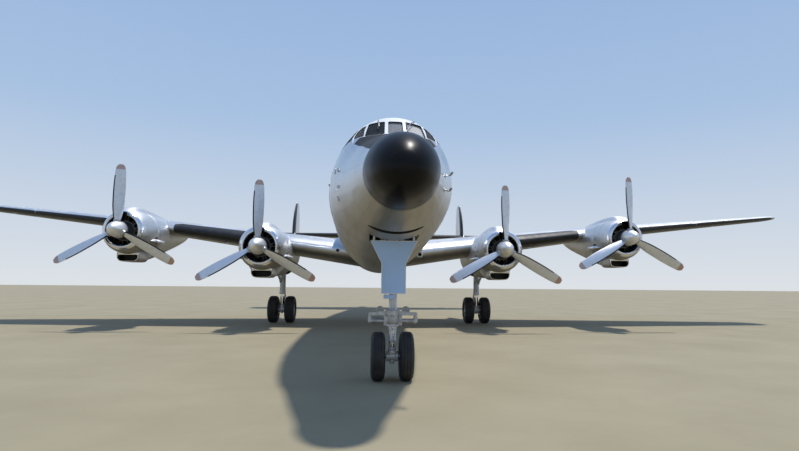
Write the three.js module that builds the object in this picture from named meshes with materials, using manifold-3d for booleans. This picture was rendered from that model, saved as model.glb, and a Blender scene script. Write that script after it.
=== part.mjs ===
// Four-engined military transport plane, parked on its landing gear, in millimetres.
// +X is the plane's left, -Y is towards its nose and +Z is up.
// A station is a distance aft of the radome's tip, and a height is measured from the ground.
import * as THREE from 'three';
import { mergeVertices } from 'three/addons/utils/BufferGeometryUtils.js';
import Module from 'manifold-3d';

const wasm = await Module();
wasm.setup();

// Driving sizes
const LENGTH = 35410;
const SEAT_GAP = 0.3;
const SWING_GAP = 14;
const SIDES = [['left', 1], ['right', -1]];

const stationY = (station) => station - LENGTH / 2;

// Fuselage sections: station, centre height, radius, height of the crown above the centre
const FUSELAGE = [
  [1000, 3170, 520, 520],
  [2000, 3260, 740, 735],
  [3000, 3375, 930, 905],
  [3700, 3490, 1080, 1300],
  [4400, 3600, 1190, 1390],
  [5200, 3700, 1285, 1440],
  [6500, 3810, 1420, 1510],
  [8000, 3900, 1530, 1600],
  [10000, 3955, 1620, 1660],
  [13000, 3960, 1720, 1750],
  [19000, 3970, 1770, 1770],
  [22000, 4030, 1665, 1665],
  [25000, 4190, 1430, 1430],
  [28000, 4430, 1090, 1090],
  [31000, 4720, 710, 710],
  [33500, 4920, 380, 380],
  [35000, 5010, 150, 150],
  [LENGTH, 5030, 40, 40],
];
const FUSELAGE_SEGMENTS = 30;
const RADOME_BASE = FUSELAGE[0][0];
const RADOME_TIP_DROP = 120;
// Radome sections: share of its length, share of its base radius
const RADOME = [[0, 0.08], [0.05, 0.34], [0.2, 0.62], [0.42, 0.82], [0.7, 0.945], [1, 1]];

// Cockpit panes: front ones as distance out and height, side ones as station and height
const FRONT_PANES = [
  [[-139, 4292], [139, 4292], [130, 4650], [-130, 4650]],
  [[200, 4292], [600, 4300], [505, 4635], [188, 4650]],
  [[-188, 4650], [-505, 4635], [-600, 4300], [-200, 4292]],
];
const SIDE_PANES = [
  [[3430, 4310], [3630, 4300], [3860, 4600], [3690, 4595]],
  [[3675, 4297], [4045, 4285], [4055, 4605], [3905, 4602]],
  [[4095, 4283], [4500, 4270], [4500, 4610], [4105, 4606]],
];
// The glass reaches behind the frames by FRAME
const GLASS = { low: 4265, high: 4650, half: 665, topHalf: 545, front: 3400, back: 4505 };
const FRAME = 45;
const FRAME_DEPTH = 14;
const GLASS_THICKNESS = 24;

// Wing sections: distance out, leading-edge station, leading-edge height, chord, thickness ratio
const WING = [
  [600, 14880, 2830, 6110, 0.18],
  [4400, 15380, 3330, 5230, 0.165],
  [9400, 16040, 3980, 4080, 0.145],
  [18000, 17170, 4900, 2090, 0.12],
  [18500, 17320, 4955, 1650, 0.115],
  [18745, 17620, 4985, 850, 0.11],
];
const WING_CAMBER = 0.018;
const FLAP_HINGE = 0.76;
const FLAPS = [['inner', 2050, 3560], ['outer', 5060, 8640]];
const PIN_RADIUS = 22;
const AILERON = { from: 11300, to: 17600, hinge: 0.76, endGap: 45 };

// Engines: name, distance out, propeller station, propeller height, nacelle sections
// Nacelle sections: distance aft of the propeller, half width, lift of the centre, height above, depth below
const INNER_NACELLE = [
  [1800, 820, 0, 820, 1090],
  [2700, 800, 0, 830, 1030],
  [4000, 760, 0, 800, 980],
  [5400, 700, 0, 700, 930],
  [6400, 600, 40, 600, 800],
  [7400, 440, 150, 440, 560],
  [8400, 250, 270, 250, 290],
  [9300, 50, 350, 50, 50],
];
const OUTER_NACELLE = [
  [1800, 820, 0, 820, 1090],
  [2700, 770, 0, 820, 900],
  [3700, 640, 40, 760, 680],
  [4900, 480, 130, 620, 480],
  [6100, 300, 270, 340, 300],
  [7200, 50, 400, 50, 50],
];
const ENGINES = [
  ['left_inner', 4367, 12590, 2968, INNER_NACELLE],
  ['left_outer', 9311, 13160, 3513, OUTER_NACELLE],
  ['right_inner', -4367, 12590, 2968, INNER_NACELLE],
  ['right_outer', -9311, 13160, 3513, OUTER_NACELLE],
];
const NACELLE_SEGMENTS = 20;
const FIREWALL = 1800;
const COWL_SEGMENTS = 20;
// Carburettor duct on the cowl and nacelle: distance, half width, height of its top above the axis
const DUCT = [
  [430, 250, 700],
  [700, 320, 870],
  [1000, 345, 940],
  [1500, 360, 965],
  [2100, 360, 955],
  [2900, 340, 915],
  [3800, 300, 840],
  [4800, 200, 720],
];
// Exhaust hood on each flank: distance, distance out, half height
const HOOD = [
  [1000, 790, 20],
  [1120, 845, 75],
  [1250, 895, 100],
  [1420, 935, 105],
  [1620, 940, 95],
  [1850, 890, 75],
  [2150, 800, 20],
];
const HOOD_HEIGHT = -320;
const EXHAUST = { from: [840, 1300], to: [945, 1720], radius: 62 };
// Oil-cooler scoop under the cowl: outside and opening as points across and up
const SCOOP = {
  front: 950,
  openingBack: 1500,
  outside: [[395, -700], [395, -940], [345, -1045], [240, -1090]],
  opening: [[345, -860], [350, -940], [310, -1015], [215, -1050]],
};
const CYLINDERS = { count: 9, distance: 840, radius: 112, foot: 200, head: 650, behind: 1010 };

// Propeller blade: distance from the hub, chord, thickness, pitch in degrees
const BLADE = [
  [200, 160, 130, 44],
  [450, 290, 90, 40],
  [900, 380, 60, 33],
  [1400, 390, 42, 26],
  [2030, 340, 28, 21],
  [2220, 270, 20, 20],
  [2310, 130, 12, 20],
];
const BLADE_SIDES = 6;
const BLADES = 3;
const SHAFT = { radius: 90, bore: 92.2, end: 790, sides: 16 };

// Tail surfaces, with the hinges of elevators and rudders on one station
const HINGE_STATION = 32700;
// Tailplane sections: distance out, leading-edge station, height, trailing-edge station, thickness ratio
const TAILPLANE = [
  [200, 29900, 4980, 33950, 0.12],
  [5900, 30900, 5085, 33500, 0.11],
  [7300, 31200, 5110, 33250, 0.1],
  [7620, 31600, 5116, 33000, 0.09],
];
const ELEVATOR = { from: 760, to: 5360, endGap: 20 };
// Fin sections: height, leading-edge station, trailing-edge station
const OUTER_FIN = [
  [3930, 32150, 32950],
  [4080, 31600, 33300],
  [4500, 31120, 33640],
  [5080, 30860, 33800],
  [5900, 31000, 33840],
  [6700, 31400, 33700],
  [7250, 31850, 33490],
  [7540, 32200, 33260],
];
const CENTRE_FIN = [
  [5000, 29700, 33650],
  [5600, 30150, 33780],
  [6400, 30700, 33800],
  [7100, 31350, 33620],
  [7440, 31850, 33400],
  [7540, 32150, 33220],
];
const FIN_RATIO = 0.1;
const OUTER_FIN_X = 5900;
const RUDDER_OUTER = { low: 4180, high: 7330 };
const RUDDER_CENTRE = { low: 5620, high: 7330 };
const RUDDER_SWEEP = 30;

// Main landing gear
const MAIN = { x: 4267, station: 17610, tyre: 575, rim: 254, width: 410, twin: 355, axle: 70 };
// The bay is open below from its mouth to its closed doors, and has a floor ahead of the mouth
const BAY = { halfWidth: 400, front: 16300, mouth: 16700, floor: 2300, back: 18900, roof: 2860 };
const BAY_DOOR = { front: 17860, thick: 25, middleGap: 6, top: 2600 };
// Nose landing gear
const NOSE = { x: 0, station: 3540, tyre: 424, rim: 200, width: 250, twin: 250, axle: 45 };
const NOSE_BAY = { halfWidth: 440, front: 3170, back: 5500, roof: 3100 };
// The closed doors behind the leg
const NOSE_DOOR = { front: 4250, thick: 25, middleGap: 6 };
const NOSE_PLATE = { front: 3260, back: 3300, outline: [[415, 2435], [215, 2040], [215, 1510]] };
const NOSE_BRACE = { station: 4440, height: 2800 };
const AXLE_CLEARANCE = 1;
// Wheels are many-sided and stand on a flat side
const WHEEL_SEGMENTS = 20;
const MAIN_AXLE = MAIN.tyre * Math.cos(Math.PI / WHEEL_SEGMENTS);
const NOSE_AXLE = NOSE.tyre * Math.cos(Math.PI / WHEEL_SEGMENTS);
const PISTON = { radius: 60, bore: 60.9, sides: 20 };

// Solids

// A closed solid of the given corner points and triangles, turned so that its faces point out
function solidOf(points, triangles) {
  const corner = (index) => new THREE.Vector3(...points[index]);
  let volume = 0;
  for (const [a, b, c] of triangles) {
    volume += corner(a).dot(corner(b).cross(corner(c)));
  }
  const outward = volume > 0 ? triangles : triangles.map(([a, b, c]) => [a, c, b]);
  return new wasm.Manifold(new wasm.Mesh({
    numProp: 3,
    vertProperties: new Float32Array(points.flat()),
    triVerts: new Uint32Array(outward.flat()),
  }));
}

// A solid through rings of equally many points, closed by a fan at each end
function loft(rings) {
  const count = rings[0].length;
  const points = rings.flat();
  const triangles = [];
  for (let ring = 0; ring + 1 < rings.length; ring += 1) {
    for (let i = 0; i < count; i += 1) {
      const j = (i + 1) % count;
      const near = ring * count;
      const far = near + count;
      triangles.push([near + i, near + j, far + j], [near + i, far + j, far + i]);
    }
  }
  for (const [ring, turn] of [[0, false], [rings.length - 1, true]]) {
    const centre = [0, 1, 2].map((axis) => rings[ring].reduce((sum, p) => sum + p[axis], 0) / count);
    const hub = points.push(centre) - 1;
    for (let i = 0; i < count; i += 1) {
      const a = ring * count + i;
      const b = ring * count + (i + 1) % count;
      triangles.push(turn ? [hub, a, b] : [hub, b, a]);
    }
  }
  return solidOf(points, triangles);
}

// The solid of a three.js geometry, moved by a matrix
function solidFrom(geometry, matrix = new THREE.Matrix4()) {
  geometry.deleteAttribute('normal');
  geometry.deleteAttribute('uv');
  const merged = mergeVertices(geometry, 0.001).applyMatrix4(matrix);
  const position = merged.getAttribute('position');
  const points = [];
  for (let i = 0; i < position.count; i += 1) {
    points.push([position.getX(i), position.getY(i), position.getZ(i)]);
  }
  const triangles = [];
  for (let i = 0; i < merged.index.count; i += 3) {
    const [a, b, c] = [0, 1, 2].map((k) => merged.index.getX(i + k));
    if (a !== b && b !== c && c !== a) triangles.push([a, b, c]);
  }
  return solidOf(points, triangles);
}

function block(low, high) {
  const size = high.map((value, axis) => value - low[axis]);
  const centre = high.map((value, axis) => (value + low[axis]) / 2);
  return solidFrom(new THREE.BoxGeometry(...size), new THREE.Matrix4().setPosition(...centre));
}

// A round bar from one point to another
function rod(from, to, radius, sides = 10) {
  const start = new THREE.Vector3(...from);
  const along = new THREE.Vector3(...to).sub(start);
  const upright = new THREE.Vector3(0, 1, 0);
  const turn = new THREE.Quaternion().setFromUnitVectors(upright, along.clone().normalize());
  const middle = start.addScaledVector(along, 0.5);
  const matrix = new THREE.Matrix4().compose(middle, turn, new THREE.Vector3(1, 1, 1));
  return solidFrom(new THREE.CylinderGeometry(radius, radius, along.length(), sides), matrix);
}

// A solid of revolution from [radius, distance] pairs, its axis along Y or X, turned by half a side if asked
function turned(profile, segments, axis = 'y', halfSide = false) {
  const lathe = new THREE.LatheGeometry(profile.map(([r, d]) => new THREE.Vector2(r, d)), segments);
  const lie = new THREE.Matrix4().makeRotationZ(axis === 'x' ? -Math.PI / 2 : 0);
  const turn = new THREE.Matrix4().makeRotationY(halfSide ? Math.PI / segments : 0);
  return solidFrom(lathe, lie.multiply(turn));
}

// A flat outline of [across, up] points, extruded between two distances along Y, or along X for a side view
function slab(outline, from, to, axis = 'y') {
  const rings = [from, to].map((distance) => outline.map(([a, up]) => (
    axis === 'y' ? [a, distance, up] : [distance, a, up]
  )));
  return loft(rings);
}

const union = (solids) => solids.reduce((sum, solid) => sum.add(solid));

// The value of a column of a table at a place given by the first column
function lookUp(table, place, column) {
  let row = 1;
  while (row < table.length - 1 && place > table[row][0]) row += 1;
  const [before, after] = [table[row - 1], table[row]];
  const share = (place - before[0]) / (after[0] - before[0]);
  return before[column] + share * (after[column] - before[column]);
}

// Aerofoil sections, as [along, across] points from the upper trailing edge round the nose

const FOIL_STEPS = [1, 0.75, 0.5, 0.28, 0.12, 0.03, 0];

function halfThickness(u, ratio) {
  const shape = 0.2969 * Math.sqrt(u) - 0.126 * u - 0.3516 * u ** 2 + 0.2843 * u ** 3 - 0.1015 * u ** 4;
  return 5 * ratio * shape;
}

const camberAt = (u, camber) => 4 * camber * u * (1 - u);

function foil(chord, ratio, camber, grow) {
  const upper = FOIL_STEPS.map((u) => [u * chord, (camberAt(u, camber) + halfThickness(u, ratio)) * chord]);
  const lower = FOIL_STEPS.slice(0, -1).reverse()
    .map((u) => [u * chord, (camberAt(u, camber) - halfThickness(u, ratio)) * chord]);
  const ring = [...upper, ...lower];
  return ring.map(([along, across], i) => {
    const before = ring[(i + ring.length - 1) % ring.length];
    const after = ring[(i + 1) % ring.length];
    const [run, rise] = [after[0] - before[0], after[1] - before[1]];
    const length = Math.hypot(run, rise);
    return [along + (grow * rise) / length, across - (grow * run) / length];
  });
}

// The part of an aerofoil behind a hinge, with a round nose about the hinge
const NOSE_ARC = [90, 120, 150, 180, 210, 240, 270].map(THREE.MathUtils.degToRad);

function flapFoil(chord, ratio, camber, hinge) {
  const u = hinge / chord;
  const centre = camberAt(u, camber) * chord;
  const radius = halfThickness(u, ratio) * chord;
  const tail = halfThickness(1, ratio) * chord;
  const arc = NOSE_ARC.map((angle) => [hinge + radius * Math.cos(angle), centre + radius * Math.sin(angle)]);
  return [[chord, tail], ...arc, [chord, -tail]];
}

// The box-shaped room that such a flap needs in the surface that carries it
function flapRoom(chord, ratio, camber, hinge, gap) {
  const front = hinge - halfThickness(hinge / chord, ratio) * chord - gap;
  const tall = 700;
  return [[chord + 400, tall], [front, tall], [front, -tall], [chord + 400, -tall]];
}

// A round hinge pin that ends just short of the walls at both ends, which face along one axis
function hingePin(from, to, axis) {
  const [start, end] = [from, to].map((point) => new THREE.Vector3(...point));
  const along = end.clone().sub(start).normalize();
  const lean = Math.sqrt(1 - along.getComponent(axis) ** 2) * PIN_RADIUS;
  const inset = (SEAT_GAP + lean) / Math.abs(along.getComponent(axis));
  start.addScaledVector(along, inset);
  end.addScaledVector(along, -inset);
  return rod(start.toArray(), end.toArray(), PIN_RADIUS, 8);
}

// Wing

function wingShape(side, places, section) {
  return loft(places.map((x) => {
    const [edge, height, chord, ratio] = [1, 2, 3, 4].map((column) => lookUp(WING, x, column));
    return section(chord, ratio).map(([along, up]) => [side * x, stationY(edge + along), height + up]);
  }));
}

const wingPlaces = WING.map(([x]) => x);
const wingSolid = (side, grow) => (
  wingShape(side, wingPlaces, (chord, ratio) => foil(chord, ratio, WING_CAMBER, grow))
);

function wingHinge(side, x, hinge) {
  const [edge, height, chord] = [1, 2, 3].map((column) => lookUp(WING, x, column));
  return [side * x, stationY(edge + hinge * chord), height + camberAt(hinge, WING_CAMBER) * chord];
}

function wingFlap(side, from, to, hinge, endGap) {
  const places = [from + endGap, ...wingPlaces.filter((x) => x > from + 200 && x < to - 200), to - endGap];
  return wingShape(side, places, (chord, ratio) => flapFoil(chord, ratio, WING_CAMBER, hinge * chord));
}

function wingFlapRoom(side, from, to, hinge, gap) {
  const places = [from, ...wingPlaces.filter((x) => x > from + 200 && x < to - 200), to];
  return wingShape(side, places, (chord, ratio) => flapRoom(chord, ratio, WING_CAMBER, hinge * chord, gap));
}

// Wing-root fillet: share of the root's chord, height on the fuselage and reach along the wing
const FILLET = [[0.01, 60], [0.08, 260], [0.3, 460], [0.55, 480], [0.72, 400], [0.85, 300], [0.99, 200]];
const FILLET_X = 1750;

function rootFillet(side, up) {
  const surface = (x, station) => {
    const [edge, height, chord, ratio] = [1, 2, 3, 4].map((column) => lookUp(WING, x, column));
    const u = Math.min(1, Math.max(0, (station - edge) / chord));
    return height + (camberAt(u, WING_CAMBER) + up * halfThickness(u, ratio)) * chord;
  };
  const wall = (station, height) => {
    const [centre, radius] = [1, 2].map((column) => lookUp(FUSELAGE, station, column));
    return Math.sqrt(Math.max(0, radius ** 2 - (height - centre) ** 2));
  };
  return loft(FILLET.map(([share, size]) => {
    const station = lookUp(WING, FILLET_X, 1) + share * lookUp(WING, FILLET_X, 3);
    const foot = surface(FILLET_X, station);
    const corner = wall(station, foot);
    const top = foot + up * size * 0.55;
    const end = corner + size;
    return [
      [wall(station, top) - 60, top], [corner + size * 0.3, foot + up * size * 0.12],
      [end, surface(end, station) - up * 4], [end, surface(end, station) - up * 40],
      [corner - 120, foot - up * 40],
    ].map(([x, z]) => [side * x, stationY(station), z]);
  }));
}

// Fuselage

function fuselageRing([station, height, radius, crown], grow) {
  const ring = [];
  for (let i = 0; i < FUSELAGE_SEGMENTS; i += 1) {
    const angle = (2 * Math.PI * i) / FUSELAGE_SEGMENTS;
    const tall = Math.cos(angle) > 0 ? crown : radius;
    const up = (tall + grow) * Math.cos(angle);
    ring.push([(radius + grow) * Math.sin(angle), stationY(station), height + up]);
  }
  return ring;
}

const fuselageSolid = (grow) => loft(FUSELAGE.map((section) => fuselageRing(section, grow)));

function radomeSolid() {
  const [, height, radius] = FUSELAGE[0];
  return loft(RADOME.map(([step, share]) => {
    const centre = height - RADOME_TIP_DROP * (1 - step) ** 1.5;
    const station = step * (RADOME_BASE - SEAT_GAP);
    return fuselageRing([station, centre, radius * share, radius * share], 0);
  }));
}

// Cockpit glass: openings through the frames, and the slot behind them that holds the glass

const WINDSHIELD = [stationY(RADOME_BASE), stationY(3800)];

function paneOpenings() {
  const front = FRONT_PANES.map((pane) => slab(pane, ...WINDSHIELD));
  const sides = SIDES.flatMap(([, side]) => SIDE_PANES.map((pane) => slab(
    pane.map(([station, height]) => [stationY(station), height]), side * 480, side * 1500, 'x',
  )));
  return union([...front, ...sides]);
}

function glassBand(margin) {
  const [low, high] = [GLASS.low - margin, GLASS.high + margin];
  const [half, topHalf] = [GLASS.half + margin, GLASS.topHalf + margin];
  const [ahead, behind] = [stationY(GLASS.front - margin), stationY(GLASS.back + margin)];
  const front = slab([[-half, low], [half, low], [topHalf, high], [-topHalf, high]], ...WINDSHIELD);
  const sides = SIDES.map(([, side]) => (
    slab([[ahead, low], [behind, low], [behind, high], [ahead, high]], side * 430, side * 1500, 'x')
  ));
  return union([front, ...sides]);
}

const glassShell = (outer, inner, margin) => (
  fuselageSolid(-outer).subtract(fuselageSolid(-inner)).intersect(glassBand(margin))
);

// Engines

function nacelleRing([distance, half, lift, above, below], x, station, height, grow) {
  const ring = [];
  for (let i = 0; i < NACELLE_SEGMENTS; i += 1) {
    const angle = (2 * Math.PI * i) / NACELLE_SEGMENTS;
    const tall = (Math.cos(angle) > 0 ? above : below) + grow;
    ring.push([
      x + (half + grow) * Math.sin(angle),
      stationY(station + distance),
      height + lift + tall * Math.cos(angle),
    ]);
  }
  return ring;
}

const nacelleSolid = (x, station, height, sections, grow) => (
  loft(sections.map((section) => nacelleRing(section, x, station, height, grow)))
);

// The pieces of an engine are made about its propeller's hub

function propellerSolid() {
  const spinner = turned([
    [0, -520], [130, -480], [230, -350], [285, -180], [300, 0], [300, 180],
    [SHAFT.radius, 180], [SHAFT.radius, SHAFT.end], [0, SHAFT.end],
  ], SHAFT.sides);
  const blade = loft(BLADE.map(([distance, chord, thickness, pitch]) => {
    const turn = THREE.MathUtils.degToRad(pitch);
    const ring = [];
    for (let i = 0; i < BLADE_SIDES; i += 1) {
      const angle = (2 * Math.PI * i) / BLADE_SIDES;
      const across = (chord / 2) * Math.cos(angle);
      const thick = (thickness / 2) * Math.sin(angle);
      ring.push([
        across * Math.cos(turn) - thick * Math.sin(turn),
        across * Math.sin(turn) + thick * Math.cos(turn),
        distance,
      ]);
    }
    return ring;
  }));
  const blades = Array.from({ length: BLADES }, (_, i) => spun(blade, (2 * Math.PI * i) / BLADES));
  return union([spinner, ...blades]);
}

// A solid turned about the Y axis, and a solid moved by an offset
const spun = (solid, angle) => solidFrom(geometryOf(solid), new THREE.Matrix4().makeRotationY(angle));
const moved = (solid, offset) => solidFrom(geometryOf(solid), new THREE.Matrix4().setPosition(...offset));

function engineSolid() {
  const { count, distance, radius, foot, head, behind } = CYLINDERS;
  const block = turned([
    [0, 800], [SHAFT.bore, 800], [SHAFT.bore, 290], [190, 290], [235, 430], [330, 600], [330, behind],
    [640, behind], [640, FIREWALL - SEAT_GAP], [0, FIREWALL - SEAT_GAP],
  ], SHAFT.sides, 'y', true);
  const cylinders = Array.from({ length: count }, (_, i) => {
    const angle = (2 * Math.PI * i) / count;
    const at = (reach) => [reach * Math.sin(angle), distance, reach * Math.cos(angle)];
    return rod(at(foot), at(head), radius, 8);
  });
  return union([block, ...cylinders]);
}

// The carburettor duct and the exhaust hoods, as far as they lie ahead of the firewall or behind it
function cowlFairings(ahead) {
  const duct = loft(DUCT.map(([distance, half, top]) => [
    [-half * 1.15, distance, 450], [-half, distance, top * 0.94], [-half * 0.5, distance, top],
    [half * 0.5, distance, top], [half, distance, top * 0.94], [half * 1.15, distance, 450],
  ]));
  const hoods = [-1, 1].map((side) => loft(HOOD.map(([distance, out, half]) => (
    [[650, 1], [0.4 * out + 390, 0.9], [out, 0.4], [out, -0.4], [0.4 * out + 390, -0.9], [650, -1]]
      .map(([x, share]) => [side * x, distance, HOOD_HEIGHT + share * half])
  ))));
  const reach = 1200;
  const [low, high] = ahead ? [0, FIREWALL - SEAT_GAP] : [FIREWALL, 6000];
  return union([duct, ...hoods]).intersect(block([-reach, low, -reach], [reach, high, reach]));
}

function cowlSolid() {
  const back = FIREWALL - SEAT_GAP;
  const ring = turned([
    [540, 420], [590, 345], [655, 372], [740, 520], [800, 800], [820, 1150], [820, back],
    [785, back], [785, 900], [705, 620], [555, 490], [540, 420],
  ], COWL_SEGMENTS);
  const [outside, opening] = [SCOOP.outside, SCOOP.opening].map((half) => (
    [...half, ...half.map(([x, up]) => [-x, up]).reverse()]
  ));
  const scoop = slab(outside, SCOOP.front, back).subtract(slab(opening, SCOOP.front - 50, SCOOP.openingBack));
  const pipes = [-1, 1].map((side) => {
    const at = ([out, distance]) => [side * out, distance, HOOD_HEIGHT];
    return rod(at(EXHAUST.from), at(EXHAUST.to), EXHAUST.radius, 8);
  });
  const inside = turned([[0, 300], [770, 300], [770, 1900], [0, 1900]], COWL_SEGMENTS);
  const notch = block([-155, 300, 480], [155, 640, 665]);
  return union([ring.subtract(notch), union([scoop, cowlFairings(true), ...pipes]).subtract(inside)]);
}

// Tail

function tailplaneShape(side, places, section) {
  return loft(places.map((x) => {
    const [edge, height, back, ratio] = [1, 2, 3, 4].map((column) => lookUp(TAILPLANE, x, column));
    const chord = back - edge;
    return section(chord, ratio, HINGE_STATION - edge)
      .map(([along, up]) => [side * x, stationY(edge + along), height + up]);
  }));
}

const tailplanePlaces = TAILPLANE.map(([x]) => x);

function finShape(table, x, heights, section) {
  return loft(heights.map((height) => {
    const [edge, back] = [lookUp(table, height, 1), lookUp(table, height, 2)];
    return section(back - edge, FIN_RATIO, HINGE_STATION - edge)
      .map(([along, across]) => [x + across, stationY(edge + along), height]);
  }));
}

const finHeights = (table) => table.map(([height]) => height);

function rudderHeights(table, { low, high }, endGap) {
  return [low + endGap, ...finHeights(table).filter((z) => z > low + 60 && z < high - 60), high - endGap];
}

// Landing gear

// A tyre with a flat tread and rounded shoulders, its axle along X
function tyreSolid({ tyre, rim, width }) {
  const half = width / 2;
  const inner = rim + SEAT_GAP;
  return turned([
    [inner, -half * 0.66], [inner + (tyre - rim) * 0.4, -half], [tyre - (tyre - rim) * 0.14, -half * 0.82],
    [tyre, -half * 0.45], [tyre, half * 0.45], [tyre - (tyre - rim) * 0.14, half * 0.82],
    [inner + (tyre - rim) * 0.4, half], [inner, half * 0.66], [inner, -half * 0.66],
  ], WHEEL_SEGMENTS, 'x', true);
}

// Two wheel hubs on one axle along X
function hubsSolid({ rim, width, twin, axle }) {
  const half = width * 0.3;
  const face = width * 0.42;
  const end = twin + width * 0.5;
  return turned([
    [0, -end], [axle, -end], [axle, -twin - face], [rim * 0.5, -twin - face],
    [rim, -twin - half], [rim, -twin + half], [axle, -twin + half],
    [axle, twin - half], [rim, twin - half], [rim, twin + half],
    [rim * 0.5, twin + face], [axle, twin + face], [axle, end], [0, end],
  ], WHEEL_SEGMENTS, 'x', true);
}

function mainLegSolid(x) {
  const at = (dx, station, height) => [x + dx, stationY(station), height];
  const top = MAIN.station - 90;
  const leg = union([
    rod(at(0, top, BAY.roof - 20), at(0, MAIN.station - 10, 1230), 125),
    rod(at(0, MAIN.station - 10, 1250), at(0, MAIN.station, MAIN_AXLE), 85),
    rod(at(-120, MAIN.station, MAIN_AXLE), at(120, MAIN.station, MAIN_AXLE), 125),
    rod(at(-BAY.halfWidth + SEAT_GAP, top, 2700), at(BAY.halfWidth - SEAT_GAP, top, 2700), 70),
    rod(at(0, MAIN.station, MAIN_AXLE), at(0, MAIN.station, 400), 60),
  ]);
  const links = [-70, 70].flatMap((dx) => [
    rod(at(dx, MAIN.station + 70, 1330), at(dx, MAIN.station + 340, 1010), 32, 8),
    rod(at(dx, MAIN.station + 340, 1010), at(dx, MAIN.station + 50, 700), 32, 8),
    rod(at(dx, top, 1750), at(dx * 3.6, BAY.front + 80, 2640), 48, 8),
  ]);
  const knee = rod(at(-105, MAIN.station + 340, 1010), at(105, MAIN.station + 340, 1010), 36, 8);
  const braceEnd = BAY.halfWidth - SEAT_GAP;
  const brace = rod(at(-braceEnd, BAY.front + 80, 2640), at(braceEnd, BAY.front + 80, 2640), 50);
  const bore = rod(
    at(-200, MAIN.station, MAIN_AXLE), at(200, MAIN.station, MAIN_AXLE),
    MAIN.axle + AXLE_CLEARANCE, WHEEL_SEGMENTS,
  );
  return union([leg, ...links, knee, brace]).subtract(bore);
}

function noseLegSolid() {
  const at = (dx, station, height) => [dx, stationY(station), height];
  const s = NOSE.station;
  const leg = union([
    rod(at(0, s, 1000), at(0, s, NOSE_BAY.roof - 20), 85),
    block(at(-75, s - 100, 1600), at(75, s, 2300)),
    rod(at(-NOSE_BAY.halfWidth + SEAT_GAP, s, 2800), at(NOSE_BAY.halfWidth - SEAT_GAP, s, 2800), 55),
    block(at(-420, s - 190, 1180), at(420, s - 110, 1235)),
    block(at(-110, s - 190, 1020), at(110, s + 60, 1235)),
  ]);
  const cylinders = [-1, 1].flatMap((side) => [
    rod(at(side * 60, s - 150, 1090), at(side * 400, s - 150, 1090), 45, 12),
    rod(at(side * 395, s - 150, 1060), at(side * 395, s - 150, 1210), 30, 10),
    rod(at(side * 215, s - 160, 1275), at(side * 215, s - 110, 1275), 62, 14),
  ]);
  const brace = [-1, 1].map((side) => (
    rod(at(side * 60, s + 40, 1900), at(side * 250, NOSE_BRACE.station, NOSE_BRACE.height), 35, 8)
  ));
  const { station, height } = NOSE_BRACE;
  const strutEnd = NOSE_BAY.halfWidth - SEAT_GAP;
  const strut = rod(at(-strutEnd, station, height), at(strutEnd, station, height), 40);
  const bore = rod(at(0, s, 900), at(0, s, 1450), PISTON.bore, PISTON.sides);
  return union([leg, ...cylinders, ...brace, strut]).subtract(bore);
}

function noseSteeringSolid() {
  const at = (dx, station, height) => [dx, stationY(station), height];
  const s = NOSE.station;
  const post = union([
    rod(at(0, s, NOSE_AXLE), at(0, s, 1440), PISTON.radius, PISTON.sides),
    rod(at(0, s, 930), at(0, s, 990), 105),
    rod(at(-105, s, NOSE_AXLE), at(105, s, NOSE_AXLE), 85),
    rod(at(0, s, NOSE_AXLE), at(0, s, 290), 40, 12),
  ]);
  const links = [-45, 45].flatMap((dx) => [
    rod(at(dx, s - 80, 960), at(dx, s - 260, 720), 20, 8),
    rod(at(dx, s - 260, 720), at(dx, s - 60, 500), 20, 8),
  ]);
  const knee = rod(at(-68, s - 260, 720), at(68, s - 260, 720), 22, 8);
  const bore = rod(
    at(-200, s, NOSE_AXLE), at(200, s, NOSE_AXLE), NOSE.axle + AXLE_CLEARANCE, WHEEL_SEGMENTS,
  );
  return union([post, ...links, knee]).subtract(bore);
}

function nosePlateSolid() {
  const { front, back, outline } = NOSE_PLATE;
  const mirrored = outline.map(([x, z]) => [-x, z]).reverse();
  const plate = slab([...outline, ...mirrored], stationY(front), stationY(back));
  const stays = [1660, 2150].map((height) => block(
    [-60, stationY(back) - 5, height], [60, stationY(NOSE.station - 100) - SEAT_GAP, height + 60],
  ));
  return union([plate, ...stays]);
}

// Finishes: colour, roughness, metalness
const FINISHES = {
  skin: [0xb9bcc0, 0.35, 0.9],
  radome: [0x17181a, 0.35, 0],
  glass: [0x29343c, 0.1, 0],
  blade: [0xa9adb2, 0.45, 0.4],
  engine: [0x35373a, 0.6, 0.5],
  gear: [0xc9ccd0, 0.45, 0.4],
  plate: [0x9fb0c6, 0.5, 0.1],
  tyre: [0x1b1b1c, 0.9, 0],
  hub: [0xa3a6aa, 0.5, 0.6],
};

function geometryOf(solid) {
  const { vertProperties, triVerts } = solid.getMesh();
  const geometry = new THREE.BufferGeometry();
  geometry.setAttribute('position', new THREE.BufferAttribute(new Float32Array(vertProperties), 3));
  geometry.setIndex(new THREE.BufferAttribute(new Uint32Array(triVerts), 1));
  return geometry;
}

function piece(name, solid, finish) {
  const [color, roughness, metalness] = FINISHES[finish];
  const material = new THREE.MeshStandardMaterial({ color, roughness, metalness });
  const mesh = new THREE.Mesh(geometryOf(solid), material);
  mesh.name = name;
  return mesh;
}

const plane = new THREE.Group();

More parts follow.
